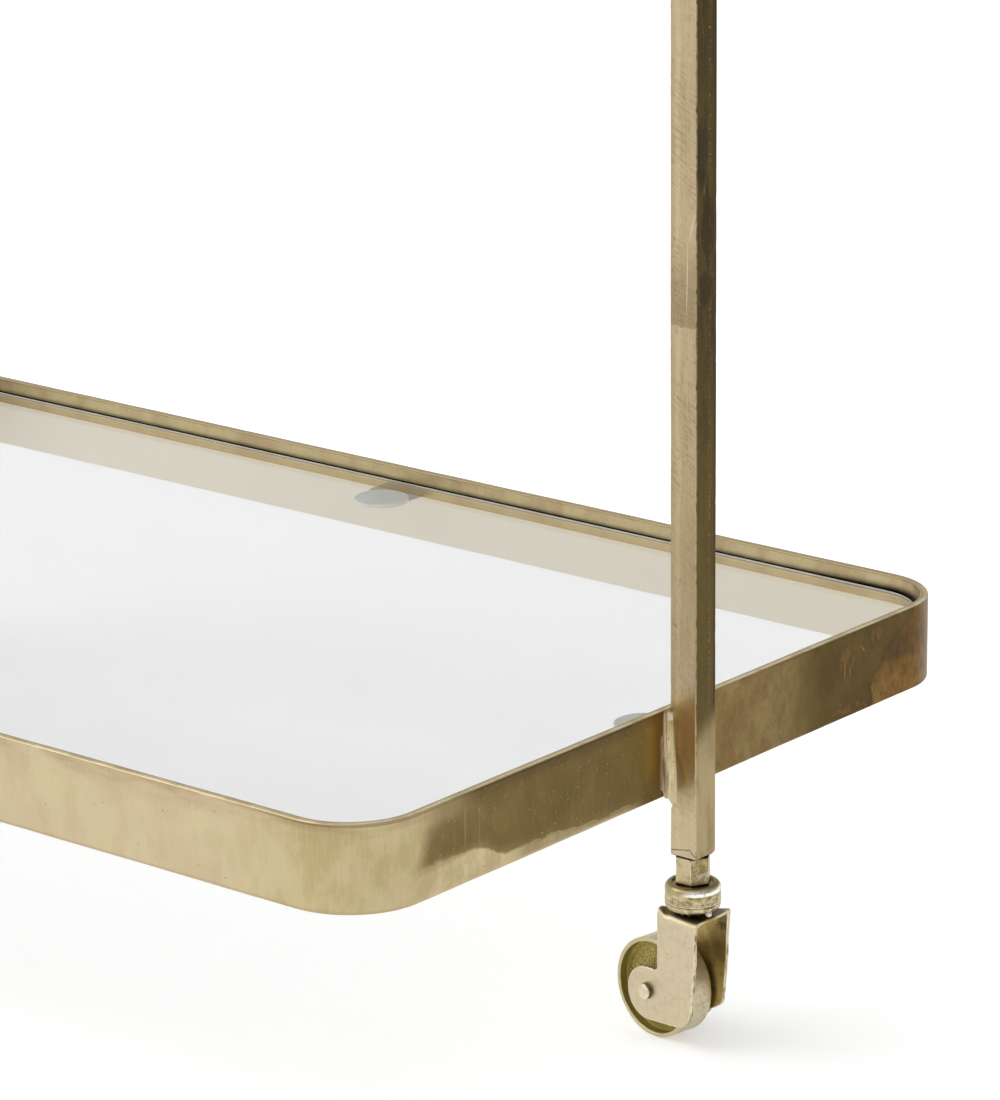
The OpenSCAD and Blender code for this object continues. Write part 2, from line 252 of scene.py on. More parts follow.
def skin(name, rings, loop=False, lids=False, crease=None):
    """A smooth mesh over rings of points. loop joins the last ring to the first; lids close the ends.
    Edges that turn by more than crease, in degrees, are shown sharp."""
    count, around = len(rings), len(rings[0])
    faces = [
        (k * around + j, k * around + (j + 1) % around, (k + 1) % count * around + (j + 1) % around,
         (k + 1) % count * around + j)
        for k in range(count if loop else count - 1) for j in range(around)
    ]
    if lids:
        faces += [tuple(range(around))[::-1], tuple(range((count - 1) * around, count * around))]
    mesh = bpy.data.meshes.new(name)
    mesh.from_pydata([tuple(point) for ring in rings for point in ring], [], faces)
    shape = bmesh.new()
    shape.from_mesh(mesh)
    bmesh.ops.recalc_face_normals(shape, faces=shape.faces)
    shape.to_mesh(mesh)
    mesh.shade_smooth()
    if crease:
        mesh.set_sharp_from_angle(angle=math.radians(crease))
    return mesh


def wear(mesh, reach=1.0):
    """Notes on each vertex how far it stands out: 1 on a sharp edge, 0 on a flat, -1 in a groove."""
    shape = bmesh.new()
    shape.from_mesh(mesh)
    shape.normal_update()
    marks = []
    for vertex in shape.verts:
        near = [edge.other_vert(vertex).co - vertex.co for edge in vertex.link_edges]
        lean = sum(-vertex.normal.dot(way.normalized()) for way in near if way.length) / max(len(near), 1)
        marks.append(max(-1.0, min(1.0, lean * 4 * reach)))
    mesh.attributes.new("wear", "FLOAT", "POINT").data.foreach_set("value", marks)
    return mesh


def place(name, mesh, finish, where=Matrix(), body="frame", stands_for=()):
    """Sets a piece in the cart: its mesh, its finish, the body it rides on and the solids it stands for."""
    piece = bpy.data.objects.new(name, mesh)
    scene.collection.objects.link(piece)
    piece.matrix_world = where
    if finish.name not in mesh.materials:
        mesh.materials.append(finish)
    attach(piece, body)
    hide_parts(*stands_for)
    return piece


def own_place(bare):
    """Where a point lies on its piece, plain, and moved by a length that differs from piece to piece."""
    at = bare.node("TexCoord", out="Object")
    return at, at.vector("ADD", bare.node("ObjectInfo", out="Random") * 0.7)


def relief(bare, height, depth):
    """A bump from a height of 0 to 1, as deep as depth in metres."""
    return bare.node("Bump", None, {"Strength": 1.0, "Distance": depth, "Height": height})


def metal(bare, colour, rough, height, depth):
    return {"Base Color": colour, "Metallic": 1.0, "Roughness": rough, "Normal": relief(bare, height, depth)}


def noted_wear(bare):
    """What wear has noted on the mesh."""
    return bare.node("Attribute", {"attribute_name": "wear"}, out="Fac")


def line_mark(along, up, start, end, width):
    """1 on a fine straight scratch between two points of a flat face, fading at its ends."""
    run, rise = end[0] - start[0], end[1] - start[1]
    length = math.hypot(run, rise)
    run, rise = run / length, rise / length
    off = (along - start[0]) * -rise + (up - start[1]) * run
    on = (along - start[0]) * run + (up - start[1]) * rise
    return off.size().soft(width, width * 0.3) * on.soft(0.0, length * 0.4) * on.soft(length, length * 0.6)


def side_brass(spread, x, y, z, outer, brush):
    """The long sides and the insides of a rim: warm pale brass that drifts from yellow to pink."""
    drift = spread.clouds(0.045, 3)
    patches = spread.clouds((0.016, 0.016, 0.024), 4, 0.6)
    colour = drift.soft(0.35, 0.65).paint((199, 185, 149), (193, 175, 143))
    near_corner = x.size().soft(half_l - 0.085, half_l - 0.025)
    greenish = patches.soft(0.4, 0.6).paint((188, 172, 131), (172, 156, 109))
    under_edge = z.soft(rim_h - 0.012, rim_h - 0.001) * spread.clouds((0.03, 0.03, 0.006), 3).soft(0.35, 0.7)
    # A dark line just under the top edge by the near corner is painted shade
    thin = z.band(rim_h - 0.0014, rim_h - 0.0008, 0.0004) * near_corner
    colour = colour.coats(
        (patches.soft(0.45, 0.72) * 0.45, (180, 162, 126)),
        (near_corner * 0.8, greenish),
        (under_edge * 0.7, (158, 134, 100)),
        (thin * 0.55, (104, 84, 56)),
        (z.soft(0.0022, 0.0004) * 0.5, (168, 138, 108)),
        (brush.soft(0.35, 0.75) * 0.15, (212, 198, 164)))

    # Inside: tan above the glass, paler below it, and a black line of painted shade in the gap where the
    # glass ends, with brown painted shade above it by the corner
    glass_top = rim_h - glass_drop
    glass_foot = glass_top - glass_t
    tan = patches.soft(0.4, 0.65).paint((200, 184, 142), (186, 164, 128))
    under_glass = z.soft(glass_foot + 0.0005, glass_foot - 0.0005)
    under_glass *= z.soft(glass_foot - 0.0062, glass_foot - 0.0053)
    rough_line = spread.clouds((0.02, 0.02, 0.0015), 3)
    corner = x.soft(half_l - 0.11, half_l - 0.04) * y.soft(0.05, 0.15)
    corner_shade_share = corner * spread.clouds(0.014, 3).soft(0.2, 0.6)
    over_foot = z.soft(glass_foot, glass_top - 0.004)
    gap_shade_above = z.soft(glass_top + 0.0038, glass_top + 0.0006) * corner_shade_share * over_foot
    gap_shade = z.soft(glass_top + 0.0001 + 0.0002 * rough_line + 0.0012 * corner, glass_top - 0.0006)
    tan = tan.coats(
        (z.soft(glass_foot - 0.0053, glass_foot - 0.0062), (226, 215, 187)),
        (under_glass * 0.6, (172, 150, 108)),
        (gap_shade_above * 0.6, (84, 62, 34)),
        (gap_shade * over_foot, (16, 12, 7)))
    return outer.paint(tan, colour)


def end_brass(spread, y, z):
    """The ends of a rim: dark olive brown, partly stain and partly painted shade, with a pale foot
    that a dried drip line bounds.
    """
    patches = spread.clouds((0.018, 0.018, 0.024), 4, 0.6)
    grain = spread.clouds((0.0011, 0.0011, 0.014), 3, 0.6)
    dots = spread.clouds(0.0009, 3, 0.6)
    wander = spread.clouds(0.006, 4, 0.6) - 0.5
    uneven = patches.soft(0.35, 0.65)
    colour = uneven.paint((124, 105, 63), (110, 91, 53))
    darker = uneven.paint((114, 94, 52), (103, 85, 46))
    top_band = (z + wander * 0.006).soft(0.034, 0.0395) * y.soft(-0.17, -0.125) * y.soft(0.02, -0.02)
    haze = y.soft(-0.146, -0.166) * z.soft(0.03, 0.036)
    colour = colour.coats(
        (y.band(-0.1, -0.03, 0.05), darker),
        (grain.soft(0.45, 0.75) * 0.18, (134, 116, 76)),
        (grain.soft(0.5, 0.25) * 0.15, (90, 75, 42)),
        (dots.soft(0.5, 0.75) * 0.3, (142, 122, 76)),
        (dots.soft(0.45, 0.25) * 0.3, (88, 72, 42)),
        (top_band * 0.5, (80, 64, 38)),
        (z.band(rim_h - 0.0013, rim_h - 0.0008, 0.0004) * 0.5, (66, 52, 30)),
        (haze * 0.7, (152, 134, 98)))

    # The pale foot is tall by the near corner and runs out towards the post
    foot_top = 0.0026 + y.soft(-0.124, -0.148) * 0.0085 + y.soft(-0.07, -0.1) * 0.0028
    above = z - foot_top - wander * 0.003
    short, tall = y.soft(-0.022, -0.05), y.soft(-0.105, -0.135)
    fade = 0.0004 + y.soft(-0.15, -0.17) * 0.003 + y.soft(-0.118, -0.105) * 0.0008
    foot = above.soft(fade, 0.0 - fade) * short
    pale = patches.soft(0.4, 0.6).paint((206, 190, 150), (186, 169, 128))
    shore = (above - 0.0004).size().soft(0.0005, 0.0001) * short * wander.soft(-0.15, 0.05)
    colour = colour.coats(
        (above.soft(0.0055, 0.0) * short * (0.25 + tall * 0.3), (142, 124, 82)),
        (foot * (0.45 + tall * 0.45), pale),
        (shore * 0.4, (190, 172, 124)),
        (z.soft(0.0016, 0.0006) * short * 0.7, (200, 181, 146)))

    # Beyond the post: brown and grey by it, then olive, with rust red stains and a far corner gone red
    by_post = patches.soft(0.4, 0.6).paint((139, 119, 74), (127, 101, 60))
    mottle = spread.clouds((0.004, 0.004, 0.006), 5, 0.7)
    beyond = y.soft(-0.01, 0.01)
    olive = y.soft(0.075, 0.115)
    deep = uneven.paint((89, 70, 17), (77, 58, 13))
    ragged = (spread.clouds((0.005, 0.005, 0.008), 5, 0.7, 0.4) - 0.5) * 3.4
    blots = (((0.156, 0.0357, 0.0062, 0.0044), 0.65), ((0.131, 0.029, 0.008, 0.0085), 0.7),
             ((0.1275, 0.012, 0.0036, 0.01), 0.55), ((0.135, 0.004, 0.02, 0.0024), 0.6),
             ((0.04, 0.02, 0.016, 0.018), 0.25))
    colour = colour.coats(
        (y.soft(0.004, 0.012) * y.soft(0.105, 0.045) * 0.8, by_post),
        (beyond * mottle.soft(0.5, 0.64) * 0.3, (150, 128, 78)),
        (beyond * mottle.soft(0.48, 0.36) * 0.35, (88, 68, 38)),
        (olive * (0.7 + mottle * 0.4), deep))
    for (off_y, up, half_y, half_z), share in blots:
        across, above = (y - off_y) * (1 / half_y), (z - up) * (1 / half_z)
        blot = across * across + above * above + ragged
        colour = colour.coats(
            (blot.soft(1.6, 0.6) * share * 0.55, (70, 52, 22)),
            (blot.soft(1.1, 0.3) * mottle.soft(0.42, 0.58) * share, (116, 84, 42)))
    for start, end in (((0.1303, 0.029), (0.1293, 0.017)), ((0.1345, 0.025), (0.1338, 0.019))):
        colour = (line_mark(y, z, start, end, 0.0007) * 0.45).paint(colour, (158, 118, 62))
    slant = y - 0.1525 - (z - 0.0147).either(0.0) * 1.32 + wander * 0.018
    red = uneven.paint((114, 82, 26), (96, 68, 20))
    pool = (y - slant * 0.3 - 0.172).size().soft(0.012, 0.003) * z.band(0.021, 0.03, 0.005)
    edge = slant.size().soft(0.0045, 0.001) * spread.clouds(0.006, 3).soft(0.3, 0.6)
    red = red.coats(
        (z.soft(0.022, 0.008) * patches.soft(0.3, 0.6) * 0.7, (126, 95, 42)),
        (mottle.soft(0.5, 0.62) * 0.55, (78, 56, 30)),
        (mottle.soft(0.46, 0.36) * 0.45, (140, 106, 62)),
        (pool * 0.6, (68, 48, 18)))
    colour = (edge * 0.7).paint(colour, (66, 51, 28))
    return slant.soft(0.0, 0.002).paint(colour, red)


def patchy_top(at, spread):
    """A rim's narrow top edge: rubbed bright along its outer half, duller along its inner half."""
    dull = spread.clouds(0.014, 4, 0.6).soft(0.42, 0.62)
    colour = (dull * 0.7).paint((216, 201, 162), (176, 156, 112))
    past = at.vector("ABSOLUTE", (0, 0, 0)).vector("SUBTRACT", (half_l - corner_r, half_w - corner_r, 0))
    across = corner_r - past.vector("MAXIMUM", (0, 0, 0)).vector("MULTIPLY", (1, 1, 0)).length()
    sway = (spread.clouds(0.012, 3) - 0.5) * 0.002
    return ((across + sway).soft(0.0016, 0.0026) * 0.7).paint(colour, (150, 130, 88))


def rim_brass(bare):
    at, spread = own_place(bare)
    x, y, z = at.parts()
    outer = bare.node("NewGeometry", out="Normal").dot(at).soft(-0.01, 0.01)
    mark = noted_wear(bare)
    brush = spread.clouds((0.0007, 0.0007, 0.016), 3)
    wander = spread.clouds(0.012, 4, 0.55) - 0.5
    colour = side_brass(spread, x, y, z, outer, brush)

    # The dark of an end, partly stain and partly painted shade, begins past the near corner, on a slant
    slant = y + 0.1875 - (z - 0.018) * 0.45 + wander * 0.01
    dark = outer * slant.soft(-0.005, 0.01) * x.size().soft(half_l - 0.024, half_l - 0.008)
    colour = dark.paint(colour, end_brass(spread, y, z))

    # Heat from the torch leaves an amber cast and a brown line beside each post
    for side, middle in ((1, 0.0), (-1, back_post_y), (-1, -back_post_y)):
        off = (y - middle).size()
        on_end = (x * side).soft(half_l - 0.001, half_l) * outer
        yellow = off.soft(0.044, 0.022) * z.soft(0.002, 0.018)
        amber = off.band(0.02, 0.0235, 0.0045) * z.soft(0.004, 0.02) * z.soft(0.042, 0.034)
        amber = amber * spread.clouds((0.008, 0.008, 0.02), 3).soft(0.25, 0.55)
        low = off.soft(0.024, 0.0165) * z.soft(0.016, 0.004)
        colour = colour.coats(
            (yellow * on_end * 0.35, (138, 118, 62)),
            (amber * on_end * 0.5, (150, 118, 55)),
            (off.soft(0.019, 0.016) * on_end * 0.4, (122, 95, 56)),
            (low * on_end * 0.45, (150, 127, 84)))

    # Scratches, pits and bright flecks; edges rubbed pale, but for the far side's top edge, which is
    # painted darker as painted shade
    scratch = line_mark(y, z, (0.1425, 0.0335), (0.147, 0.0288), 0.0002)
    scratch = scratch.either(line_mark(y, z, (-0.1552, 0.041), (-0.1548, 0.011), 0.0006) * 0.35)
    scratch = scratch.either(line_mark(y, z, (-0.1452, 0.036), (-0.1448, 0.008), 0.0006) * 0.25)
    pits = spread.specks(0.0052, 0.0005, 0.22).either(spread.specks(0.011, 0.0007, 0.25))
    flecks = spread.specks(0.002, 0.00038, 0.16, 1.3)
    worn = mark.soft(0.15, 0.6) * spread.clouds(0.02, 3).soft(0.25, 0.5)
    far_top_shade = y.soft(half_w - 0.01, half_w - 0.006) * z.soft(rim_h - 0.001, rim_h - 0.0004)
    far_side = y.soft(half_w - 0.03, half_w - 0.015)
    far_top_shade = far_top_shade.either((1 - outer) * z.soft(rim_h - 0.0011, rim_h - 0.0006) * far_side)
    top = z.soft(rim_h - 0.0004, rim_h - 0.0001) * (1 - far_top_shade)
    height = brush * 0.35 + wander * 0.5 - pits * 0.8 + spread.clouds(0.006, 2) * 0.6
    colour = colour.coats(
        (scratch * outer * 0.7, (186, 170, 112)),
        (pits * 0.6, (92, 74, 48)),
        (flecks * (0.1 + dark * y.soft(0.06, 0.0) * 0.36), (210, 194, 140)),
        (worn * (1 - far_top_shade) * 0.5, (206, 191, 156)),
        (top * 0.9, patchy_top(at, spread)),
        (far_top_shade * 0.75, (150, 130, 90)))
    return metal(bare, colour, 0.44 - brush * 0.1 - worn * 0.08 + dark * 0.02, height, 0.0001)


def rim_station(x, y, out_x, out_y):
    """The bar's section at one point of its centre line, a little uneven as bent bar is."""
    outline = [(-rim_t / 2, 0), (rim_t / 2, 0), (rim_t / 2, rim_h), (-rim_t / 2, rim_h)]
    ring = []
    for off, up, _ in eased(outline, 0.0005):
        point = Vector((x + out_x * off, y + out_y * off, up))
        sway = noise.noise(point / 0.06) * 0.00015 + noise.noise(point / 0.011) * 0.00005
        lift = noise.noise(Vector((x, y, 7.0)) / 0.03) * 0.00012
        ring.append(point + Vector((out_x * sway, out_y * sway, lift * (up / rim_h - 0.5) * 2)))
    return ring


station_gap = 0.007
stations = []
arcs = round_corners(half_l - corner_r, half_w - corner_r, corner_r - rim_t / 2, 20)
for quarter, arc in enumerate(arcs):
    stations += arc
    straight = 2 * (half_w if quarter % 2 else half_l) - 2 * corner_r
    last = arc[-1]
    count = round(straight / station_gap)
    for step in range(1, count):
        along = straight * step / count
        stations.append((last[0] - last[3] * along, last[1] + last[2] * along, last[2], last[3]))

rim_mesh = wear(skin("rim", [rim_station(*station) for station in stations], loop=True))
rim_finish = finish("rim_brass", rim_brass)
for level, low in (("lower", tray_lo.z), ("upper", upper_z)):
    place(level + "_rim_bar", rim_mesh, rim_finish, Matrix.Translation((tray_x, 0, low)),
          stands_for=[level + "_rim"])


# Glass sheets
# Clear 5 mm glass with ground edges. It lies loose on the pads, a little below the rim's top, with
# painted shade along the foot of its edge, and carries some dust and small specks.
glass_lo, glass_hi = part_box("lower_glass")
sheet_l, sheet_w = (glass_hi.x - glass_lo.x) / 2, (glass_hi.y - glass_lo.y) / 2
sheet_t = glass_hi.z - glass_lo.z
sheet_r = sheet_l - (half_l - corner_r)


def sheet_ring(inset, up):
    """The sheet's outline, drawn in by inset, at one height."""
    arcs = round_corners(sheet_l - sheet_r, sheet_w - sheet_r, sheet_r - inset, 16)
    return [(x, y, up) for arc in arcs for x, y, _, _ in arc]


def clear_glass(bare):
    """Glass that lets the lamp and the sky through to what it covers."""
    spread = own_place(bare)[1]
    dust = spread.clouds(0.05, 4, 0.6).soft(0.4, 0.8)
    grit = spread.specks(0.028, 0.0006, 0.4).either(spread.specks(0.016, 0.0004, 0.18))
    tint = (dust * 0.3).paint((228, 229, 229), (223, 224, 223))
    tint = (grit * 0.5).paint(tint, (120, 118, 108))
    glass = bare.node("BsdfPrincipled", None, {
        "Base Color": tint, "Roughness": 0.01 + grit * 0.4 + dust * 0.01, "IOR": 1.5,
        "Transmission Weight": 1.0})
    through = bare.node("BsdfTransparent", None, {"Color": tone(247, 248, 248)})
    shadow = bare.node("LightPath", out="Is Shadow Ray")
    return bare.node("MixShader", None, {0: shadow, 1: glass, 2: through})


def ground_edge(bare):
    at, spread = own_place(bare)
    up = at.parts()[2]
    frost = spread.clouds((0.004, 0.004, 0.0005), 3)
    # The edge is painted dark along its foot and along its top, as painted shade
    gap_shade_on_edge = up.soft(0.0012 + frost * 0.0008, 0.0006)
    gap_shade_on_edge = gap_shade_on_edge.either(up.soft(glass_t - 0.0002, glass_t - 0.00005) * 0.6)
    colour = frost.soft(0.3, 0.7).paint((226, 230, 226), (206, 212, 208))
    return {"Base Color": gap_shade_on_edge.paint(colour, (58, 60, 54)), "Roughness": 0.55 + frost * 0.2,
            "Transmission Weight": 0.35, "IOR": 1.5, "Normal": relief(bare, frost, 0.00008)}


grind = 0.0004
sheet_rings = [sheet_ring(grind, 0), sheet_ring(0, grind)]
sheet_rings += [sheet_ring(0, sheet_t - grind), sheet_ring(grind, sheet_t)]
sheet_mesh = skin("glass_sheet", sheet_rings, lids=True, crease=12)
glass_finish = finish("clear_glass", clear_glass)
edge_finish = finish("ground_edge", ground_edge)
sheet_mesh.materials.append(glass_finish)
sheet_mesh.materials.append(edge_finish)
for face in sheet_mesh.polygons:
    face.material_index = 1 if len(face.vertices) == 4 else 0
for level in ("lower", "upper"):
    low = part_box(level + "_glass")[0]
    place(level + "_glass_sheet", sheet_mesh, glass_finish, Matrix.Translation((tray_x, 0, low.z)),
          stands_for=[level + "_glass"])


# Tabs and pads
# Small brass plates brazed inside the rims carry the glass. A soft clear disc lies on each, so that
# the glass doesn't touch brass.
def eased_copy(name, node, ease, angle=35):
    """A solid's own shape with its sharp edges eased."""
    shape = bmesh.new()
    shape.from_mesh(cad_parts[node].data)
    for layer in list(shape.loops.layers.uv.values()):
        shape.loops.layers.uv.remove(layer)
    bmesh.ops.remove_doubles(shape, verts=shape.verts, dist=2e-6)
    bmesh.ops.dissolve_limit(shape, angle_limit=math.radians(0.6), verts=shape.verts, edges=shape.edges)
    corners = [edge for edge in shape.edges
               if len(edge.link_faces) == 2 and edge.calc_face_angle(0) > math.radians(angle)]
    bmesh.ops.bevel(shape, geom=corners, offset=ease, segments=3, profile=0.5, affect="EDGES",
                    clamp_overlap=True)
    mesh = bpy.data.meshes.new(name)
    bmesh.ops.triangulate(shape, faces=[f for f in shape.faces if len(f.verts) > 4])
    shape.to_mesh(mesh)
    if "custom_normal" in mesh.attributes:
        mesh.attributes.remove(mesh.attributes["custom_normal"])
    mesh.shade_smooth()
    mesh.set_sharp_from_angle(angle=math.radians(angle))
    return mesh


def tab_brass(bare):
    spread = own_place(bare)[1]
    drift = spread.clouds(0.008, 4, 0.6)
    colour = drift.soft(0.35, 0.7).paint((122, 104, 56), (150, 132, 84))
    pits = spread.specks(0.003, 0.0006, 0.4)
    colour = (pits * 0.7).paint(colour, (70, 58, 36))
    return metal(bare, colour, 0.42 + drift * 0.15, drift - pits, 0.0002)


def clear_pad(bare):
    spread = own_place(bare)[1]
    cloudy = spread.clouds(0.006, 3)
    colour = cloudy.soft(0.3, 0.7).paint((232, 236, 220), (218, 223, 207))
    return {"Base Color": colour, "Roughness": 0.5, "Subsurface Weight": 0.4, "Subsurface Scale": 0.004,
            "Normal": relief(bare, cloudy, 0.0002)}


tab_finish = finish("tab_brass", tab_brass)
pad_finish = finish("clear_pad", clear_pad)
for level in ("lower", "upper"):
    place(level + "_tab_plates", eased_copy("tab_plates", level + "_tabs", 0.0004), tab_finish,
          stands_for=[level + "_tabs"])
    place(level + "_pad_discs", eased_copy("pad_discs", level + "_pads", 0.0005), pad_finish,
          stands_for=[level + "_pads"])


# Posts, foot plugs and caps
# Slim square brass tubes with filed edges, brazed to the outside of both rims. A plate with a spigot
# closes each end. The face towards the outside of the cart is painted dark above the lower rim,
# partly as patina and partly as painted shade.
post_half, post_wall = 0.0075, 0.0015
posts = {"front": Matrix.Translation((tray_hi.x + post_half, 0, 0))}
for name, aside in (("left", back_post_y), ("right", -back_post_y)):
    posts[name] = Matrix.Translation((tray_lo.x - post_half, aside, 0)) @ Matrix.Rotation(math.pi, 4, "Z")
foot_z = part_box("front_plug")[0].z
foot_cut, foot_rise = 0.0022, 0.00285
notch_r, notch_out, notch_drop = 0.0038, 0.0027, 0.00475


def post_sides(spread, x, z, brush, drift, blots):
    """The two sides and the back of a post: pale champagne brass with file marks, stains and a patch."""
    slanted = spread.node("VectorRotate", {"rotation_type": "EULER_XYZ"},
                          {"Vector": spread, "Rotation": (0, math.radians(58), 0)})
    file_marks = slanted.clouds((0.0008, 0.02, 0.006), 2)
    colour = drift.soft(0.35, 0.65).paint((180, 161, 130), (174, 156, 121))
    streak = (x + 0.003 + (drift - 0.5) * 0.004).size().soft(0.0022, 0.0004)
    kept = spread.clouds((0.012, 0.012, 0.03), 2).soft(0.42, 0.62)
    grime = spread.clouds((0.0016, 0.0016, 0.004), 4, 0.7).soft(0.52, 0.7)
    nicks = spread.specks(0.0026, 0.00034, 0.35, 2.2)
    ends = z.soft(0.45, 0.6).either(z.soft(0.128, 0.112))
    colour = colour.coats(
        (streak * 0.5, (196, 184, 140)),
        (file_marks.soft(0.48, 0.62) * (0.15 + kept * 0.45), (138, 118, 88)),
        (grime * 0.38, (128, 108, 80)),
        (brush.soft(0.4, 0.8) * 0.3, (204, 188, 158)),
        (nicks * 0.5, (112, 94, 68)),
        (ends * 0.5, (208, 191, 158)))

    # A worn patch with a sharp foot and a pale crack, about half way up
    patch = (z + (blots - 0.5) * 0.003).soft(0.3475, 0.3483) * z.soft(0.392, 0.355)
    speckle = spread.clouds((0.0006, 0.0006, 0.0009), 3, 0.7).soft(0.48, 0.64)
    crack = line_mark(x, z, (0.008, 0.405), (0.0022, 0.385), 0.00045)
    crack = crack.either(line_mark(x, z, (0.0028, 0.394), (0.0017, 0.346), 0.0004))
    colour = colour.coats(
        (patch * 0.7, (148, 130, 98)),
        (patch * speckle * 0.6, (116, 100, 74)))
    return (crack * 0.6).paint(colour, (216, 203, 172))


def post_brass(bare):
    at, spread = own_place(bare)
    x, y, z = at.parts()
    mark = noted_wear(bare)
    brush = spread.clouds((0.0006, 0.0006, 0.022), 3)
    drift = spread.clouds((0.01, 0.01, 0.05), 3)
    blots = spread.clouds((0.006, 0.006, 0.022), 4, 0.55, 0.5)
    colour = post_sides(spread, x, z, brush, drift, blots)

    # The dark outer face, partly patina and partly painted shade, which gets paler from the lower rim
    # downwards
    front = (x + (brush - 0.5) * 0.0003).soft(0.0069, 0.0073)
    aged_and_shaded = blots.soft(0.4, 0.62).paint((74, 59, 27), (60, 47, 21))
    dots = spread.clouds((0.0007, 0.0007, 0.0009), 2).soft(0.58, 0.66)
    dots *= (y - 0.0022).size().soft(0.0012, 0.0003)
    ragged = (spread.clouds((0.003, 0.003, 0.009), 4, 0.6, 0.5) - 0.5) * 1.5
    flames = (((-0.004, 0.427, 0.0045, 0.015), 0.0), ((0.0006, 0.394, 0.0046, 0.018), 0.7),
              ((-0.0012, 0.366, 0.0052, 0.008), 0.7))
    aged_and_shaded = aged_and_shaded.coats(
        (brush.soft(0.35, 0.75) * 0.35, (98, 82, 40)),
        (z.soft(0.34, 0.25) * 0.45, (104, 86, 40)),
        (dots * 0.6, (156, 140, 86)),
        (y.soft(0.004, 0.0064) * 0.6, (52, 42, 26)))
    for (off_y, up, half_y, half_z), outline in flames:
        flame = at.vector("SUBTRACT", (post_half, off_y, up))
        flame = flame.vector("MULTIPLY", (0, 1 / half_y, 1 / half_z)).length() + ragged
        edge = (flame - 1.12).size().soft(0.08, 0.02) * drift.soft(0.48, 0.56)
        aged_and_shaded = aged_and_shaded.coats(
            (flame.soft(1.1, 0.75) * 0.7, (50, 40, 20)),
            (edge * outline, (132, 116, 80)))
    tilted = z - y * 0.5 + (drift - 0.5) * 0.008
    low = tilted.soft(0.166, 0.149) * (0.7 + z.soft(0.158, 0.128) * 0.3)
    aged_and_shaded = low.paint(aged_and_shaded, blots.soft(0.4, 0.65).paint((168, 151, 112), (150, 132, 94)))
    colour = front.paint(colour, aged_and_shaded)

    # Heat stain from the brazing, on the two faces beside each rim
    beside = x.soft(0.0074, 0.0068)
    for foot in (tray_lo.z, upper_z):
        up = z - foot
        tall = up.soft(0.051, 0.043) * up.soft(0.002, 0.009)
        off = (x - 0.0016).size() - up.soft(0.003, 0.026) * 0.0046
        stain = tall * (off + (blots - 0.5) * 0.002).soft(0.0026, 0.0002)
        core = (x + 0.0036 - up.soft(0.024, 0.004) * 0.0048).size().soft(0.0018, 0.0003)
        core *= up.soft(0.045, 0.035) * up.soft(0.003, 0.008)
        line = (up + 0.0052).size().soft(0.0006, 0.0001) * beside
        colour = colour.coats(
            (stain * beside * (0.32 + blots * 0.4), (220, 182, 116)),
            (core * beside * 0.5, (160, 126, 71)),
            (line * 0.2, (160, 138, 104)))

    # The seam over the foot plug, which slopes down to the front edge, and painted shade along the
    # plug's foot, where it meets the hexagon
    seam_z = foot_z + 0.0037 + x * 0.17 - (x - 0.0035).either(0.0) * 0.95
    seam = (z - seam_z + (spread.clouds(0.003, 3) - 0.5) * 0.0014).size().soft(0.00034, 0.00012)
    seam = seam * x.soft(0.0074, 0.007) * spread.clouds(0.0015, 2).soft(0.25, 0.45)
    colour = colour.coats(
        (seam * 0.85, (84, 66, 42)),
        (z.soft(foot_z + 0.0005, foot_z + 0.0001) * 0.9, (58, 46, 28)))

    pits = spread.specks(0.0042, 0.0005, 0.2).either(spread.specks(0.012, 0.0008, 0.22))
    worn = mark.soft(0.15, 0.6) * spread.clouds(0.006, 3).soft(0.32, 0.5)
    joint = z.soft(post_lo.z + 0.0012, post_lo.z + 0.0004)
    joint = joint.either(z.soft(post_hi.z - 0.0012, post_hi.z - 0.0004))
    worn = worn * (1 - joint) * (1 - y.soft(0.0064, 0.007))
    nicks = mark.soft(0.1, 0.4) * spread.clouds(0.0016, 2).soft(0.6, 0.68)
    height = brush * 0.3 + blots * 0.2 - pits + drift * 0.5 - seam
    colour = colour.coats(
        (pits * 0.7, (92, 78, 54)),
        (worn * 0.6, (214, 198, 160)),
        (nicks * 0.7, (96, 80, 54)))
    return metal(bare, colour, 0.43 - brush * 0.08 - worn * 0.08, height, 0.0001)


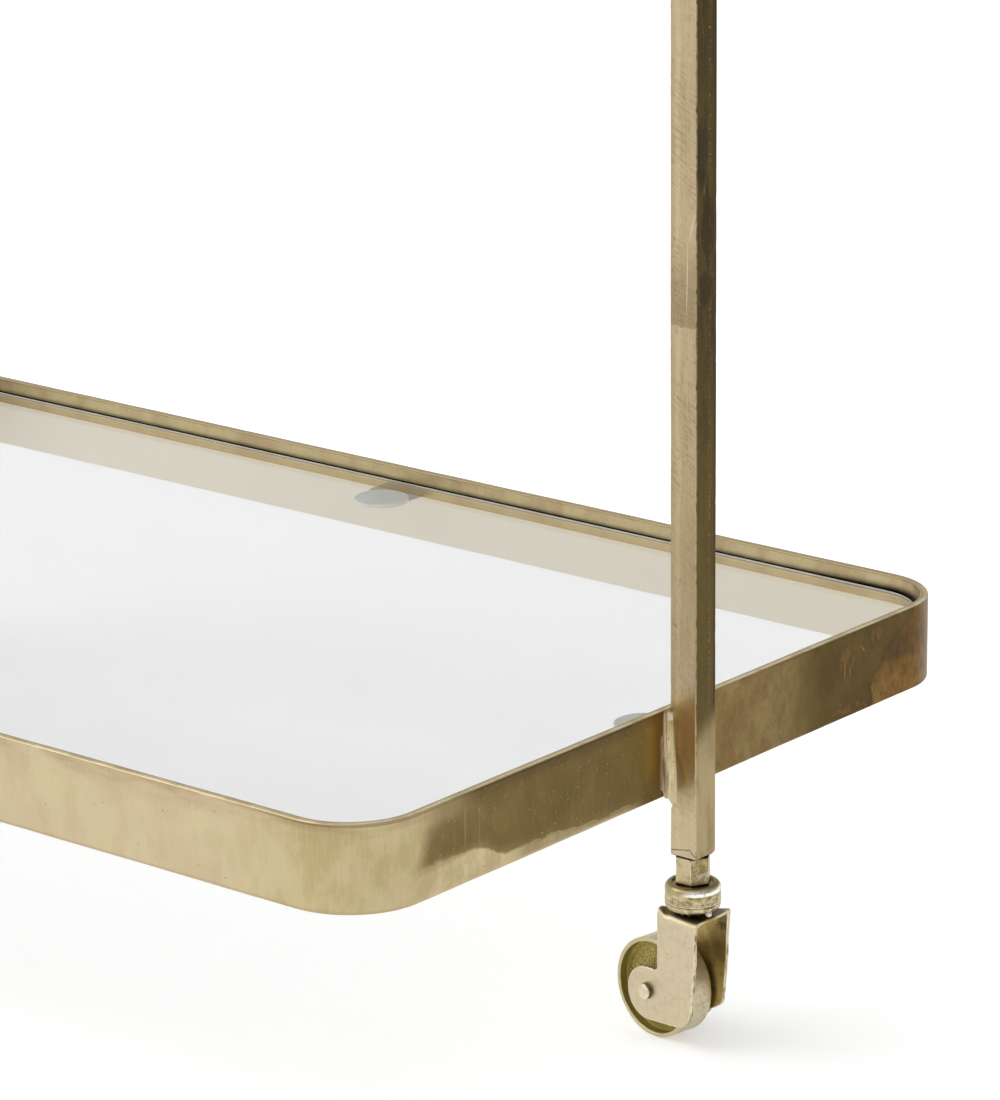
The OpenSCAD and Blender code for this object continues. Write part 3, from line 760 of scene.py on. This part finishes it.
post_lo, post_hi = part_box("front_post")
outside = [(side * post_half, other * post_half) for side, other in ((-1, -1), (1, -1), (1, 1), (-1, 1))]
outside = eased(outside, 0.0007, 4, 0.0009, 0.0003)
inside = [point * (1 - post_wall / post_half) for point in outside]
levels = [post_lo.z, post_lo.z + 0.0002]
while levels[-1] < post_hi.z - 0.003:
    close = min(abs(levels[-1] - low + notch_drop) for low in (tray_lo.z, upper_z)) < 0.005
    levels.append(levels[-1] + (0.0004 if close else 0.0024))
levels += [post_hi.z - 0.0002, post_hi.z]
post_rings = []
for k, up in enumerate(levels):
    tuck = 0.0001 if k == len(levels) - 1 else 0.0
    ring = []
    for point in outside:
        edge = max(0.0, (abs(point.x) + abs(point.y)) / post_half - 1.8) * 5
        dent = noise.noise(Vector((point.x * 40, point.y * 40, up / 0.0045)))
        dent = max(0.0, dent - 0.25) * 0.0003 * edge
        sway = noise.noise(Vector((point.x * 60, point.y * 60, up / 0.05))) * 0.0001
        sway *= min(1.0, (up - post_lo.z) / 0.02, (post_hi.z - up) / 0.02)
        spot = (point * (1 - (tuck + dent + sway) / post_half)).to_3d()

        # A round file has bitten the back edges under each rim
        for low in (tray_lo.z, upper_z):
            off = up - (low - notch_drop)
            if abs(off) < notch_r:
                out = (-2 * post_half - spot.x + abs(spot.y)) / math.sqrt(2)
                excess = out - (notch_out - math.sqrt(notch_r ** 2 - off ** 2))
                if spot.x < 0 and excess > 0:
                    spot += Vector((excess, -math.copysign(excess, spot.y), 0)) / math.sqrt(2)
        ring.append(spot + Vector((0, 0, up)))
    post_rings.append(ring)
post_rings += [[point + Vector((0, 0, up)) for point in inside] for up in (post_hi.z, post_lo.z)]
post_mesh = wear(skin("post", post_rings, loop=True, crease=50))
post_finish = finish("post_brass", post_brass)

# The foot plate's outer far corner is filed round; its spigot fills the tube
plug_rings = []
for step in range(9):
    up = (post_lo.z - foot_z) * step / 8
    ring = []
    for point in outside:
        spot = point * (1 - 0.0002 / post_half * (step == 0))
        left = max(0.0, 1 - up / foot_rise)
        excess = (spot.x + spot.y) / math.sqrt(2) - post_half * math.sqrt(2)
        excess += foot_cut * (1 - math.sqrt(1 - left ** 2))
        if excess > 0:
            spot = spot - Vector((excess, excess, 0)) / math.sqrt(2)
        ring.append(spot + Vector((0, 0, foot_z + up)))
    plug_rings.append(ring)
for up in (post_lo.z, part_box("front_plug")[1].z):
    plug_rings.append([point * 0.995 + Vector((0, 0, up)) for point in inside])
plug_mesh = wear(skin("foot_plug", plug_rings, lids=True, crease=50), 0.5)
cap_mesh = eased_copy("top_cap", "front_cap", 0.0006)
cap_mesh.transform(posts["front"].inverted())
wear(cap_mesh, 0.0)
for name, where in posts.items():
    for piece, solid, mesh in (("_post_tube", "_post", post_mesh), ("_foot_plug", "_plug", plug_mesh),
                               ("_top_cap", "_cap", cap_mesh)):
        place(name + piece, mesh, post_finish, where, stands_for=[name + solid])


# Braze fillets
# Filler metal run into the corners between each post and rim, then filed hollow: 8 mm along the rim
# and 4 mm up the post, less near the top. It sags at the foot, where a round file has cut it.
braze_reach, braze_rise = 0.008, 0.004
bow_r = (braze_reach ** 2 + braze_rise ** 2) / braze_rise / 2
loops_along, points_up = 24, 48


def filed_foot(out):
    """How far below the rim's foot the filler ends, by its distance out from the post's back edge."""
    if out > notch_out:
        return notch_r - notch_drop + 0.0045 * min(1.0, (out - notch_out) / 0.0014)
    return -notch_drop + math.sqrt(max(0.0, notch_r ** 2 - (out - notch_out) ** 2))


def fillet(side):
    """One fillet in the post's own place: a row of upright loops, from the rim's face to the post's."""
    rings = []
    for k in range(-1, loops_along + 2):
        along = braze_reach * (1 - k / loops_along)
        inner = min(max(along, 0.0), braze_reach)
        full = bow_r - math.sqrt(bow_r ** 2 - (braze_reach - inner) ** 2)
        ring = []
        for step in range(points_up + 1):
            share = step / points_up
            height = full * (1 - 0.62 * max(0.0, share - 0.35) / 0.65)
            foot = filed_foot((inner - full) / math.sqrt(2))
            up = foot + (rim_h - 0.0003 - foot) * share
            ridge = noise.noise(Vector((side * 3, inner * 90, up / 0.02))) * 2
            ridge = math.sin(inner / 0.0011 + ridge) * 0.0001
            lump = noise.noise(Vector((inner / 0.004, side * 5, up / 0.008))) * 0.00022
            height += (ridge + lump) * min(1.0, inner / 0.0012, (braze_reach - inner) / 0.0012)
            height *= 1 - max(0.0, 1 - (1 - share) * 24) ** 2 * 0.35 - max(0.0, 1 - share * 30) ** 2 * 0.3
            sunk = 0.0005 if k == -1 else 0.00006
            ring.append(Vector((-post_half + height - sunk, side * (post_half + along), up)))
        for step in range(8, -1, -1):
            foot = filed_foot((inner + 0.0008) / math.sqrt(2))
            up = foot + (rim_h - 0.0006 - foot) * step / 8
            ring.append(Vector((-post_half - 0.0008, side * (post_half + along), up)))
        rings.append(ring)
    return skin("fillet", rings, lids=True)


def braze_metal(bare):
    at, spread = own_place(bare)
    y, z = at.parts()[1:]
    along = y.size() - post_half
    lumps = spread.clouds((0.003, 0.003, 0.012), 3)
    lines = spread.clouds((0.0007, 0.0007, 0.014), 3, 0.6)
    dull = lines.soft(0.4, 0.62).paint((196, 180, 152), (140, 121, 94))
    bright = lumps.soft(0.35, 0.7).paint((214, 200, 164), (196, 180, 138))
    sway = (lumps - 0.5) * 0.0014
    bright = bright.coats(
        (lines.soft(0.54, 0.64) * 0.35, (150, 130, 94)),
        (z.soft(0.004, -0.003), (200, 183, 150)))
    colour = (along + sway).soft(0.0031, 0.0036).paint(bright, dull)
    groove = (along + sway - 0.0033).size().soft(0.0006, 0.0001)
    groove *= spread.clouds((0.002, 0.002, 0.008), 3).soft(0.38, 0.6)
    stained = along.soft(0.0012, 0.0001) * z.band(0.008, 0.041, 0.006)
    grit = spread.specks(0.0018, 0.00034, 0.5)
    # A near white spot near the fillet's top is a painted highlight
    spot = z.band(rim_h - 0.0048, rim_h - 0.0022, 0.0012) * along.band(0.0006, 0.0024, 0.0008)
    colour = colour.coats(
        (groove * 0.6, (112, 92, 64)),
        ((along + sway * 0.5).soft(0.0068, 0.0076), (110, 88, 56)),
        (stained * 0.55, (152, 124, 78)),
        (grit * 0.7, (98, 80, 54)),
        (spot * 0.8, (246, 242, 228)))
    return metal(bare, colour, 0.36 + lines * 0.15, lumps * 0.6 + lines * 0.4 - grit * 0.6, 0.00025)


braze_finish = finish("braze_metal", braze_metal)
both = bmesh.new()
for side in (-1, 1):
    both.from_mesh(fillet(side))
fillet_mesh = bpy.data.meshes.new("fillets")
both.to_mesh(fillet_mesh)
fillet_mesh.shade_smooth()
fillet_mesh.set_sharp_from_angle(angle=math.radians(50))
for name, where in posts.items():
    for level, low in (("lower", tray_lo.z), ("upper", upper_z)):
        place(f"{name}_{level}_fillets", fillet_mesh, braze_finish, where @ Matrix.Translation((0, 0, low)),
              stands_for=[f"{name}_{level}_braze"])


# Caster stems and races
# The stem is turned with a hexagon for the spanner; its stud is screwed into the foot plug. Below it
# sits a turned race with a domed shoulder, pitted and rubbed, with painted highlight and painted shade,
# and its steel balls, painted bright as a highlight on one and dark as grease and shade on the rest.
def cast_brass(bare, pale=(206, 192, 160), deep=(150, 134, 88), grime=0.5, dots=0.55):
    spread = own_place(bare)[1]
    lumps = spread.clouds(0.0035, 4, 0.6)
    grains = spread.clouds(0.0006, 2)
    mark = noted_wear(bare)
    colour = lumps.soft(0.42, 0.72).paint(pale, deep)
    pits = spread.specks(0.0013, 0.00022, 0.34).either(spread.specks(0.004, 0.00048, 0.25))
    stain = spread.clouds(0.007, 5, 0.65).soft(0.55, 0.68)
    # Hollows are painted dark, partly as patina and partly as painted shade
    hollow_patina_and_shade = mark.soft(-0.08, -0.5)
    worn = mark.soft(0.15, 0.55) * spread.clouds(0.003, 2).soft(0.3, 0.6)
    height = lumps * 0.6 + grains * 0.25 - pits * 0.9
    rough = 0.36 + lumps * 0.12 + pits * 0.2 - worn * 0.1
    colour = colour.coats(
        (pits * dots, (84, 72, 50)),
        (stain * grime, (112, 98, 62)),
        (hollow_patina_and_shade * 0.7, (48, 40, 26)),
        (worn * 0.75, (232, 222, 190)))
    return metal(bare, colour, rough, height, 0.00018)


def coated(sockets, *coats):
    """The same surface with coats over its colour."""
    sockets["Base Color"] = sockets["Base Color"].coats(*coats)
    return sockets


def turned(profile, steps=72):
    """Rings of points from a profile of (radius, height), turned about the upright axis."""
    return [[Vector((radius * math.cos(a), radius * math.sin(a), up)) for a in
             (math.tau * k / steps for k in range(steps))] for radius, up in profile]


def hexagon_ring(across, up, soften=0.0):
    """A hexagon with slightly eased corners, as 72 points, so that it joins to round rings."""
    ring = []
    for k in range(72):
        way = math.tau * k / 72
        flat = across / 2 / math.cos(way % (math.pi / 3) - math.pi / 6)
        reach = min(flat, across / 2 / math.cos(math.pi / 6) * (1 - 0.008 - soften))
        ring.append(Vector((reach * math.cos(way), reach * math.sin(way), up)))
    return ring


stem_lo, stem_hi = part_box("front_stem")
race_lo, race_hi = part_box("front_race")
race_z, race_top = race_lo.z, race_hi.z
pin_r, hex_w, groove_d = 0.004, 0.0152, 0.0012
stem_rings = turned([(0.0005, stem_lo.z), (pin_r - 0.0004, stem_lo.z), (pin_r, stem_lo.z + 0.0004),
                     (pin_r, race_top - groove_d - 0.0001)])
stem_rings += [hexagon_ring(hex_w - 0.0008, race_top - groove_d, 0.01),
               hexagon_ring(hex_w, race_top - groove_d + 0.0004)]
stem_rings += [hexagon_ring(hex_w, race_top + (foot_z - race_top) * step / 8) for step in range(8)]
stem_rings += [hexagon_ring(hex_w, foot_z - 0.0005), hexagon_ring(hex_w - 0.0006, foot_z - 0.0002, 0.01)]
stem_rings += turned([(0.006, foot_z - 0.0001), (pin_r, foot_z), (pin_r, stem_hi.z - 0.0006),
                      (pin_r - 0.0006, stem_hi.z), (0.0005, stem_hi.z)])
stem_mesh = wear(skin("stem", stem_rings, lids=True, crease=28))
stem_mesh.transform(Matrix.Rotation(math.radians(2), 4, "Z"))


def stem_brass(bare):
    """The hexagon: pale and lightly pitted on one face, olive and blotchy on the next, with grey smears
    of painted reflection; painted shade where it meets the plug and the race.
    """
    at, spread = own_place(bare)
    z = at.parts()[2]
    facing = bare.node("NewGeometry", out="Normal").dot((0.88, -0.47, 0.0))
    blots = spread.clouds(0.0022, 4, 0.65, 0.6)
    olive = blots.soft(0.34, 0.66).paint((180, 164, 118), (126, 109, 68))
    # Grey smears on the olive face are painted reflection
    olive = (spread.clouds(0.004, 4, 0.6).soft(0.52, 0.64) * 0.6).paint(olive, (188, 184, 168))
    return coated(
        cast_brass(bare, (200, 184, 146), (166, 148, 110), 0.25, 0.7),
        (facing.soft(0.65, 0.8), olive),
        # Painted shade where the hexagon meets the plug above and the race below
        (z.soft(foot_z - 0.0012, foot_z - 0.0003), (34, 27, 16)),
        (z.soft(race_top + 0.0007, race_top + 0.0002) * 0.9, (56, 45, 26)))


race_r, race_h, lip_r, groove_r = 0.0131, race_top - race_z, 0.0105, 0.00973
dome = 0.00277
profile = [(pin_r, 0.0), (lip_r - 0.0006, 0.0), (lip_r, 0.0005)]
for k in range(1, 9):
    bend = k / 8 * math.pi / 2
    profile.append((lip_r + (race_r - lip_r) * math.sin(bend), 0.0005 + 0.0026 * (1 - math.cos(bend))))
profile += [(race_r - 0.0002, 0.0038), (race_r - 0.0002, 0.0041), (race_r, 0.0044)]
profile += [(race_r, 0.0044 + (race_h - dome - 0.0044) * step / 4) for step in range(1, 5)]
for k in range(1, 11):
    bend = k / 10 * math.pi / 2
    profile.append((race_r - dome + dome * math.cos(bend), race_h - dome + dome * math.sin(bend)))
profile += [(groove_r + 0.0002, race_h), (groove_r, race_h - 0.0002), (groove_r, race_h - groove_d),
            (pin_r, race_h - groove_d)]
race_rings = turned([(radius, race_z + up) for radius, up in profile], 96)
for ring in race_rings:
    for point in ring:
        lump = noise.noise(point / 0.004) * 0.00012 + noise.noise(point / 0.0015) * 0.00004
        point += Vector((point.x, point.y, 0)).normalized() * lump
race_mesh = wear(skin("race", race_rings, loop=True, crease=50))


def race_brass(bare):
    """The race: rubbed and given a painted highlight on its shoulder towards the light, painted shade on
    the side away from it, pitted on its side, thin turned lines by the lip.
    """
    at, spread = own_place(bare)
    z = at.parts()[2]
    sockets = cast_brass(bare, (204, 190, 152), (134, 116, 72), 0.5, 0.8)
    up = z - race_z
    shoulder = up.soft(race_h - 0.005, race_h - 0.003) * up.soft(race_h + 0.0002, race_h - 0.0003)
    # The rubbed shoulder is partly wear and partly painted highlight
    rubbed = shoulder * spread.clouds(0.004, 3).soft(0.35, 0.55)
    holes = spread.specks(0.0017, 0.00052, 0.7) * up.band(0.0052, race_h - 0.004, 0.0012)
    top = z.soft(race_top - 0.0012, race_top - 0.0003)
    around = at.vector("MULTIPLY", (1, 1, 0)).vector("NORMALIZE", (0, 0, 0))
    lit = around.dot((0.93, -0.37, 0.0)).soft(0.45, 0.95)
    patchy = spread.clouds((0.003, 0.003, 0.002), 3).soft(0.3, 0.5)
    crest = up.band(race_h - 0.0034, race_h - 0.0016, 0.0006)
    lines = [((up - line).size().soft(0.00022, 0.00008) * 0.6, (84, 70, 42))
             for line in (0.004, 0.005, 0.0058)]
    sockets["Roughness"] = sockets["Roughness"] - shoulder * 0.12
    return coated(
        sockets,
        (rubbed * 0.4, (222, 209, 172)),
        (holes * spread.clouds(0.007, 2).soft(0.42, 0.52), (38, 29, 17)),
        (top * 0.85, (112, 94, 54)),
        # Painted shade on the side away from the light; a painted highlight and a dark painted line of
        # reflection below it on the side towards the light
        ((1 - lit) * shoulder * 0.6, (150, 131, 86)),
        (lit * crest * patchy, (255, 252, 244)),
        ((up - race_h + 0.0044).size().soft(0.0005, 0.0001) * lit * 0.5, (96, 80, 50)),
        ((1 - lit) * up.soft(race_h - 0.004, 0.003) * 0.3, (168, 152, 114)),
        *lines,
        (up.soft(0.0024, 0.0008) * 0.7, (168, 156, 86)))


def steel(bare, axis):
    """Ball steel: near white as a painted highlight on the slack ball out at the lip, dark further in,
    as grease and painted shade.
    """
    at, spread = own_place(bare)
    rub = spread.clouds(0.0008, 2)
    lip = at.vector("SUBTRACT", tuple(axis)).vector("MULTIPLY", (1, 1, 0)).length().soft(0.0096, 0.0101)
    grease_and_shade = rub.soft(0.4, 0.7).paint((46, 38, 24), (78, 66, 42))
    # The slack ball at the lip is painted near white as a painted highlight; the rest are painted dark as
    # grease and painted shade
    colour = lip.paint(grease_and_shade, rub.soft(0.4, 0.7).paint((252, 251, 248), (234, 231, 222)))
    return {"Base Color": colour, "Metallic": 0.35, "Roughness": 0.45 - lip * 0.25 + rub * 0.1,
            "Normal": relief(bare, rub, 0.00003)}


caster_finish = finish("caster_brass", cast_brass)
stem_finish = finish("stem_brass", stem_brass)
race_finish = finish("race_brass", race_brass)


def dress(node, material):
    """Gives a solid that shows as it is its finish."""
    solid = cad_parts[node]
    for held in solid.material_slots:
        held.link = "OBJECT"
        held.material = material


for name, where in posts.items():
    place(name + "_stem_hex", stem_mesh, stem_finish, where, "frame", [name + "_stem"])
    place(name + "_ball_race", race_mesh, race_finish, where, "frame", [name + "_race"])
    middle = where.translation
    dress(name + "_balls", finish(name + "_ball_steel", lambda bare: steel(bare, middle)))
    dress(name + "_peen", caster_finish)


# Forks
# One strap of brass, bent to an inverted U over the wheel. Each side widens into a round lobe behind,
# and the edges are worn soft. It turns on the stem's pin.
swing = Matrix.Rotation(math.radians(-8.5), 4, "Z")
casters = {name: Matrix.Translation(where.translation) @ swing for name, where in posts.items()}
axle_z, trail = 0.0243, 0.0193


def softened(name, node, own, voxel, passes):
    """A solid's own shape in its own axes, in fine even faces and smoothed, as worn castings are."""
    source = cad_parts[node].data
    shape = bmesh.new()
    shape.from_mesh(source)
    shape.transform(own.inverted())
    bmesh.ops.remove_doubles(shape, verts=shape.verts, dist=2e-6)
    bmesh.ops.recalc_face_normals(shape, faces=shape.faces)
    rough = bpy.data.meshes.new(name + "_rough")
    shape.to_mesh(rough)
    holder = bpy.data.objects.new(name + "_rough", rough)
    scene.collection.objects.link(holder)
    remesh = holder.modifiers.new("even", "REMESH")
    remesh.mode, remesh.voxel_size = "VOXEL", voxel
    smooth = holder.modifiers.new("worn", "SMOOTH")
    smooth.factor, smooth.iterations = 0.5, passes
    bpy.context.view_layer.update()
    mesh = bpy.data.meshes.new_from_object(holder.evaluated_get(bpy.context.evaluated_depsgraph_get()))
    mesh.name = name
    bpy.data.objects.remove(holder)
    if "custom_normal" in mesh.attributes:
        mesh.attributes.remove(mesh.attributes["custom_normal"])
    mesh.materials.clear()
    mesh.shade_smooth()
    return mesh


def ramp(rise):
    """A rise held between 0 and 1."""
    return max(0.0, min(1.0, rise))


fork_mesh = softened("fork", "front_fork", casters["front"], 0.0005, 3)
fork_lo, fork_hi = (fork_mesh.vertices[0].co.copy() for _ in range(2))
for vertex in fork_mesh.vertices:
    fork_lo = Vector(map(min, fork_lo, vertex.co))
    fork_hi = Vector(map(max, fork_hi, vertex.co))
old_bend, bend = 0.0032, 0.0046
corner_lift, corner_push, rear_lift, plate_lift, plate_cut = 0.0018, 0.0012, 0.0036, 0.0036, 0.0095
for vertex in fork_mesh.vertices:
    spot = vertex.co

    # The bend on one side is wide and round
    aside, down = spot.y - fork_lo.y, fork_hi.z - spot.z
    if aside < bend and down < bend:
        deep = min(aside, down)
        if aside < old_bend and down < old_bend:
            deep = old_bend - math.hypot(old_bend - aside, old_bend - down)
        way = math.atan2(bend - down, bend - aside)
        spot.y = fork_lo.y + bend - (bend - deep) * math.cos(way)
        spot.z = fork_hi.z - bend + (bend - deep) * math.sin(way)

    # The bend on the other side is sharp, and its corners are turned up a little
    aside, down = spot.y - fork_hi.y + old_bend, spot.z - fork_hi.z + old_bend
    if aside > 0 and down > 0:
        grow = 1 + 0.85 * (math.hypot(aside, down) / max(aside, down) - 1)
        spot.y, spot.z = fork_hi.y - old_bend + aside * grow, fork_hi.z - old_bend + down * grow
    far = ramp((math.hypot(spot.x, spot.y) - 0.0112) / 0.0045)
    fade = ramp((spot.z - fork_hi.z + 0.012) / 0.009)
    fade *= ramp((spot.y + 0.003) / 0.006)
    spot.z += corner_lift * far * fade
    spot.y += corner_push * far * fade * max(0.0, spot.y) / fork_hi.y
    rear = ramp((math.hypot(spot.x, spot.y) - 0.0115) / 0.0065) * (spot.x < 0 and spot.y < 0)
    up = ramp((spot.z - fork_hi.z + 0.018) / 0.015)
    spot.z += rear_lift * rear * rear * (3 - 2 * rear) * up * up * (3 - 2 * up)

    # Its plate was cut shorter and rounder in front
    if spot.y > 0.004:
        ahead = ramp(spot.x / 0.008 + 0.5)
        under = ramp((0.024 - spot.z) / 0.014)
        spot.z += plate_lift * under * ahead
        spot.x -= plate_cut * under ** 3 * max(0.0, spot.x) / 0.012
wear(fork_mesh, 1.2)


def fork_brass(bare):
    at, spread = own_place(bare)
    y, z = at.parts()[1:]
    facing = bare.node("NewGeometry", out="Normal").dot((0.0, 0.0, 1.0))
    level = z.soft(0.064, 0.065) * facing.soft(0.6, 0.9)
    # Round the race the top plate is painted dark, as painted shade cast by the race
    race_shade = at.vector("MULTIPLY", (1, 1, 0)).length().soft(0.0165, 0.014)

    # Fine brown grit in drifts; brown lines along the strap's narrow edges; olive insides
    grit = spread.clouds(0.0007, 3, 0.7).soft(0.6, 0.68) * spread.clouds(0.006, 2).soft(0.42, 0.58)
    narrow = y.size().band(0.0096, 0.01105, 0.0002) * z.soft(0.0612, 0.06)
    lines = spread.clouds((0.0016, 0.0016, 0.006), 3, 0.6).soft(0.48, 0.6)
    inner = y.size().soft(0.0098, 0.0092) * (z + y.size() * 0.4).soft(0.0672, 0.0664)
    moss = spread.clouds(0.004, 3).soft(0.4, 0.6).paint((196, 171, 84), (160, 136, 62))
    return coated(
        cast_brass(bare, (210, 196, 166), (203, 189, 156), 0.0, 0.6),
        (level * 0.35, (160, 140, 98)),
        (level * race_shade * 0.8, (92, 76, 44)),
        (grit * 0.6, (120, 96, 58)),
        (narrow * lines * 0.75, (100, 76, 42)),
        (inner * 0.85, moss))


fork_finish = finish("fork_brass", fork_brass)
for name, where in casters.items():
    place(name + "_fork_strap", fork_mesh, fork_finish, where, name + "_swivel", [name + "_fork"])


# Axle rivets and spacers
# A brass rivet passes through fork, washers and hub; its ends are hammered to low flat heads.
rivet_r, head_r, head_t, fork_half = 0.0025, 0.0038, 0.0024, 0.0114
profile = [(0.0003, -fork_half - head_t), (head_r - 0.0005, -fork_half - head_t),
           (head_r - 0.0001, -fork_half - head_t + 0.0003), (head_r, -fork_half - head_t + 0.0007),
           (head_r, -fork_half), (rivet_r, -fork_half + 0.0001)]
profile += [(radius, -up) for radius, up in reversed(profile)]
rivet_rings = turned(profile, 48)
for ring in rivet_rings:
    for point in ring:
        if abs(point.z) >= fork_half:
            spot = Vector((point.x * 500, point.y * 500, math.copysign(3, point.z)))
            swell = 1 + 0.09 * noise.noise(spot)
            point.x, point.y = point.x * swell, point.y * swell - 0.0004
rivet_mesh = wear(skin("rivet", rivet_rings, lids=True, crease=50))
axle = Matrix.Translation((-trail, 0, axle_z)) @ Matrix.Rotation(math.pi / 2, 4, "X")
rivet_mesh.transform(axle)


def rivet_brass(bare):
    """The rivet's heads: pale flat ends, and sides painted dark as painted shade against the fork."""
    y = own_place(bare)[0].parts()[1]
    # The heads' sides are painted dark as painted shade
    side = y.size().soft(fork_half + head_t - 0.0001, fork_half + head_t - 0.0007)
    return coated(cast_brass(bare, (226, 214, 186), (204, 190, 158), 0.2), (side * 0.85, (74, 60, 36)))


rivet_finish = finish("rivet_brass", rivet_brass)
for name, where in casters.items():
    place(name + "_rivet_pin", rivet_mesh, rivet_finish, where, name + "_swivel", [name + "_rivet"])
    dress(name + "_spacers", caster_finish)


# Wheels
# Cast brass wheels: a smooth tread rubbed bright at its edges, and on each side a deep recess that
# was left rough from the mould, round the hub.
wheel_r, wheel_half, wheel_wall, recess_d, hub_r, bore_r = 0.0243, 0.0076, 0.0021, 0.0046, 0.0065, 0.00258
hub_half = fork_half - 0.002 - 0.0015
web = wheel_half - recess_d
well_r = wheel_r - wheel_wall
corners = [(bore_r, -hub_half), (hub_r, -hub_half), (hub_r, -web), (well_r, -web), (well_r, -wheel_half),
           (wheel_r, -wheel_half), (wheel_r, wheel_half), (well_r, wheel_half), (well_r, web), (hub_r, web),
           (hub_r, hub_half), (bore_r, hub_half)]
wheel_rings = turned([(p.x, p.y) for p in eased(corners, 0.00055, 4, 0.0012, 0.0002)], 120)
for ring in wheel_rings:
    for point in ring:
        out = math.hypot(point.x, point.y)
        rough = 1.0 if hub_r < out < well_r and abs(point.z) < wheel_half - 0.001 else 0.25
        lump = noise.noise(point / 0.0022) * 0.00022 + noise.noise(point / 0.0009) * 0.00008
        if out > bore_r + 0.001:
            point += Vector((point.x / out, point.y / out, math.copysign(0.7, point.z))) * (lump * rough)
wheel_mesh = wear(skin("wheel", wheel_rings, loop=True))
wheel_mesh.transform(axle)


def wheel_brass(bare):
    at, spread = own_place(bare)
    y = at.parts()[1]
    sockets = cast_brass(bare, (210, 199, 170), (186, 172, 134), 0.35)
    out = at.vector("SUBTRACT", (-trail, 0, axle_z)).vector("MULTIPLY", (1, 0, 1)).length()
    edge = y.size().soft(wheel_half - 0.0012, wheel_half - 0.0004)
    edge *= out.soft(well_r - 0.0002, well_r + 0.0003)
    well = out.soft(well_r + 0.0006, well_r + 0.0001)
    well *= y.size().soft(wheel_half - 0.0002, wheel_half - 0.0012)
    sand = spread.clouds(0.0012, 4, 0.8)
    moss = sand.soft(0.36, 0.64).paint((194, 177, 84), (104, 89, 36))
    moss = out.soft(well_r - 0.002, well_r - 0.0002).paint(moss, (180, 164, 90))
    sockets["Roughness"] = 0.4 + well * 0.2
    return coated(sockets, (edge * 0.6, (188, 178, 128)), (well * 0.85, moss))


wheel_finish = finish("wheel_brass", wheel_brass)
for name, where in casters.items():
    place(name + "_cast_wheel", wheel_mesh, wheel_finish, where, name + "_roller", [name + "_wheel"])
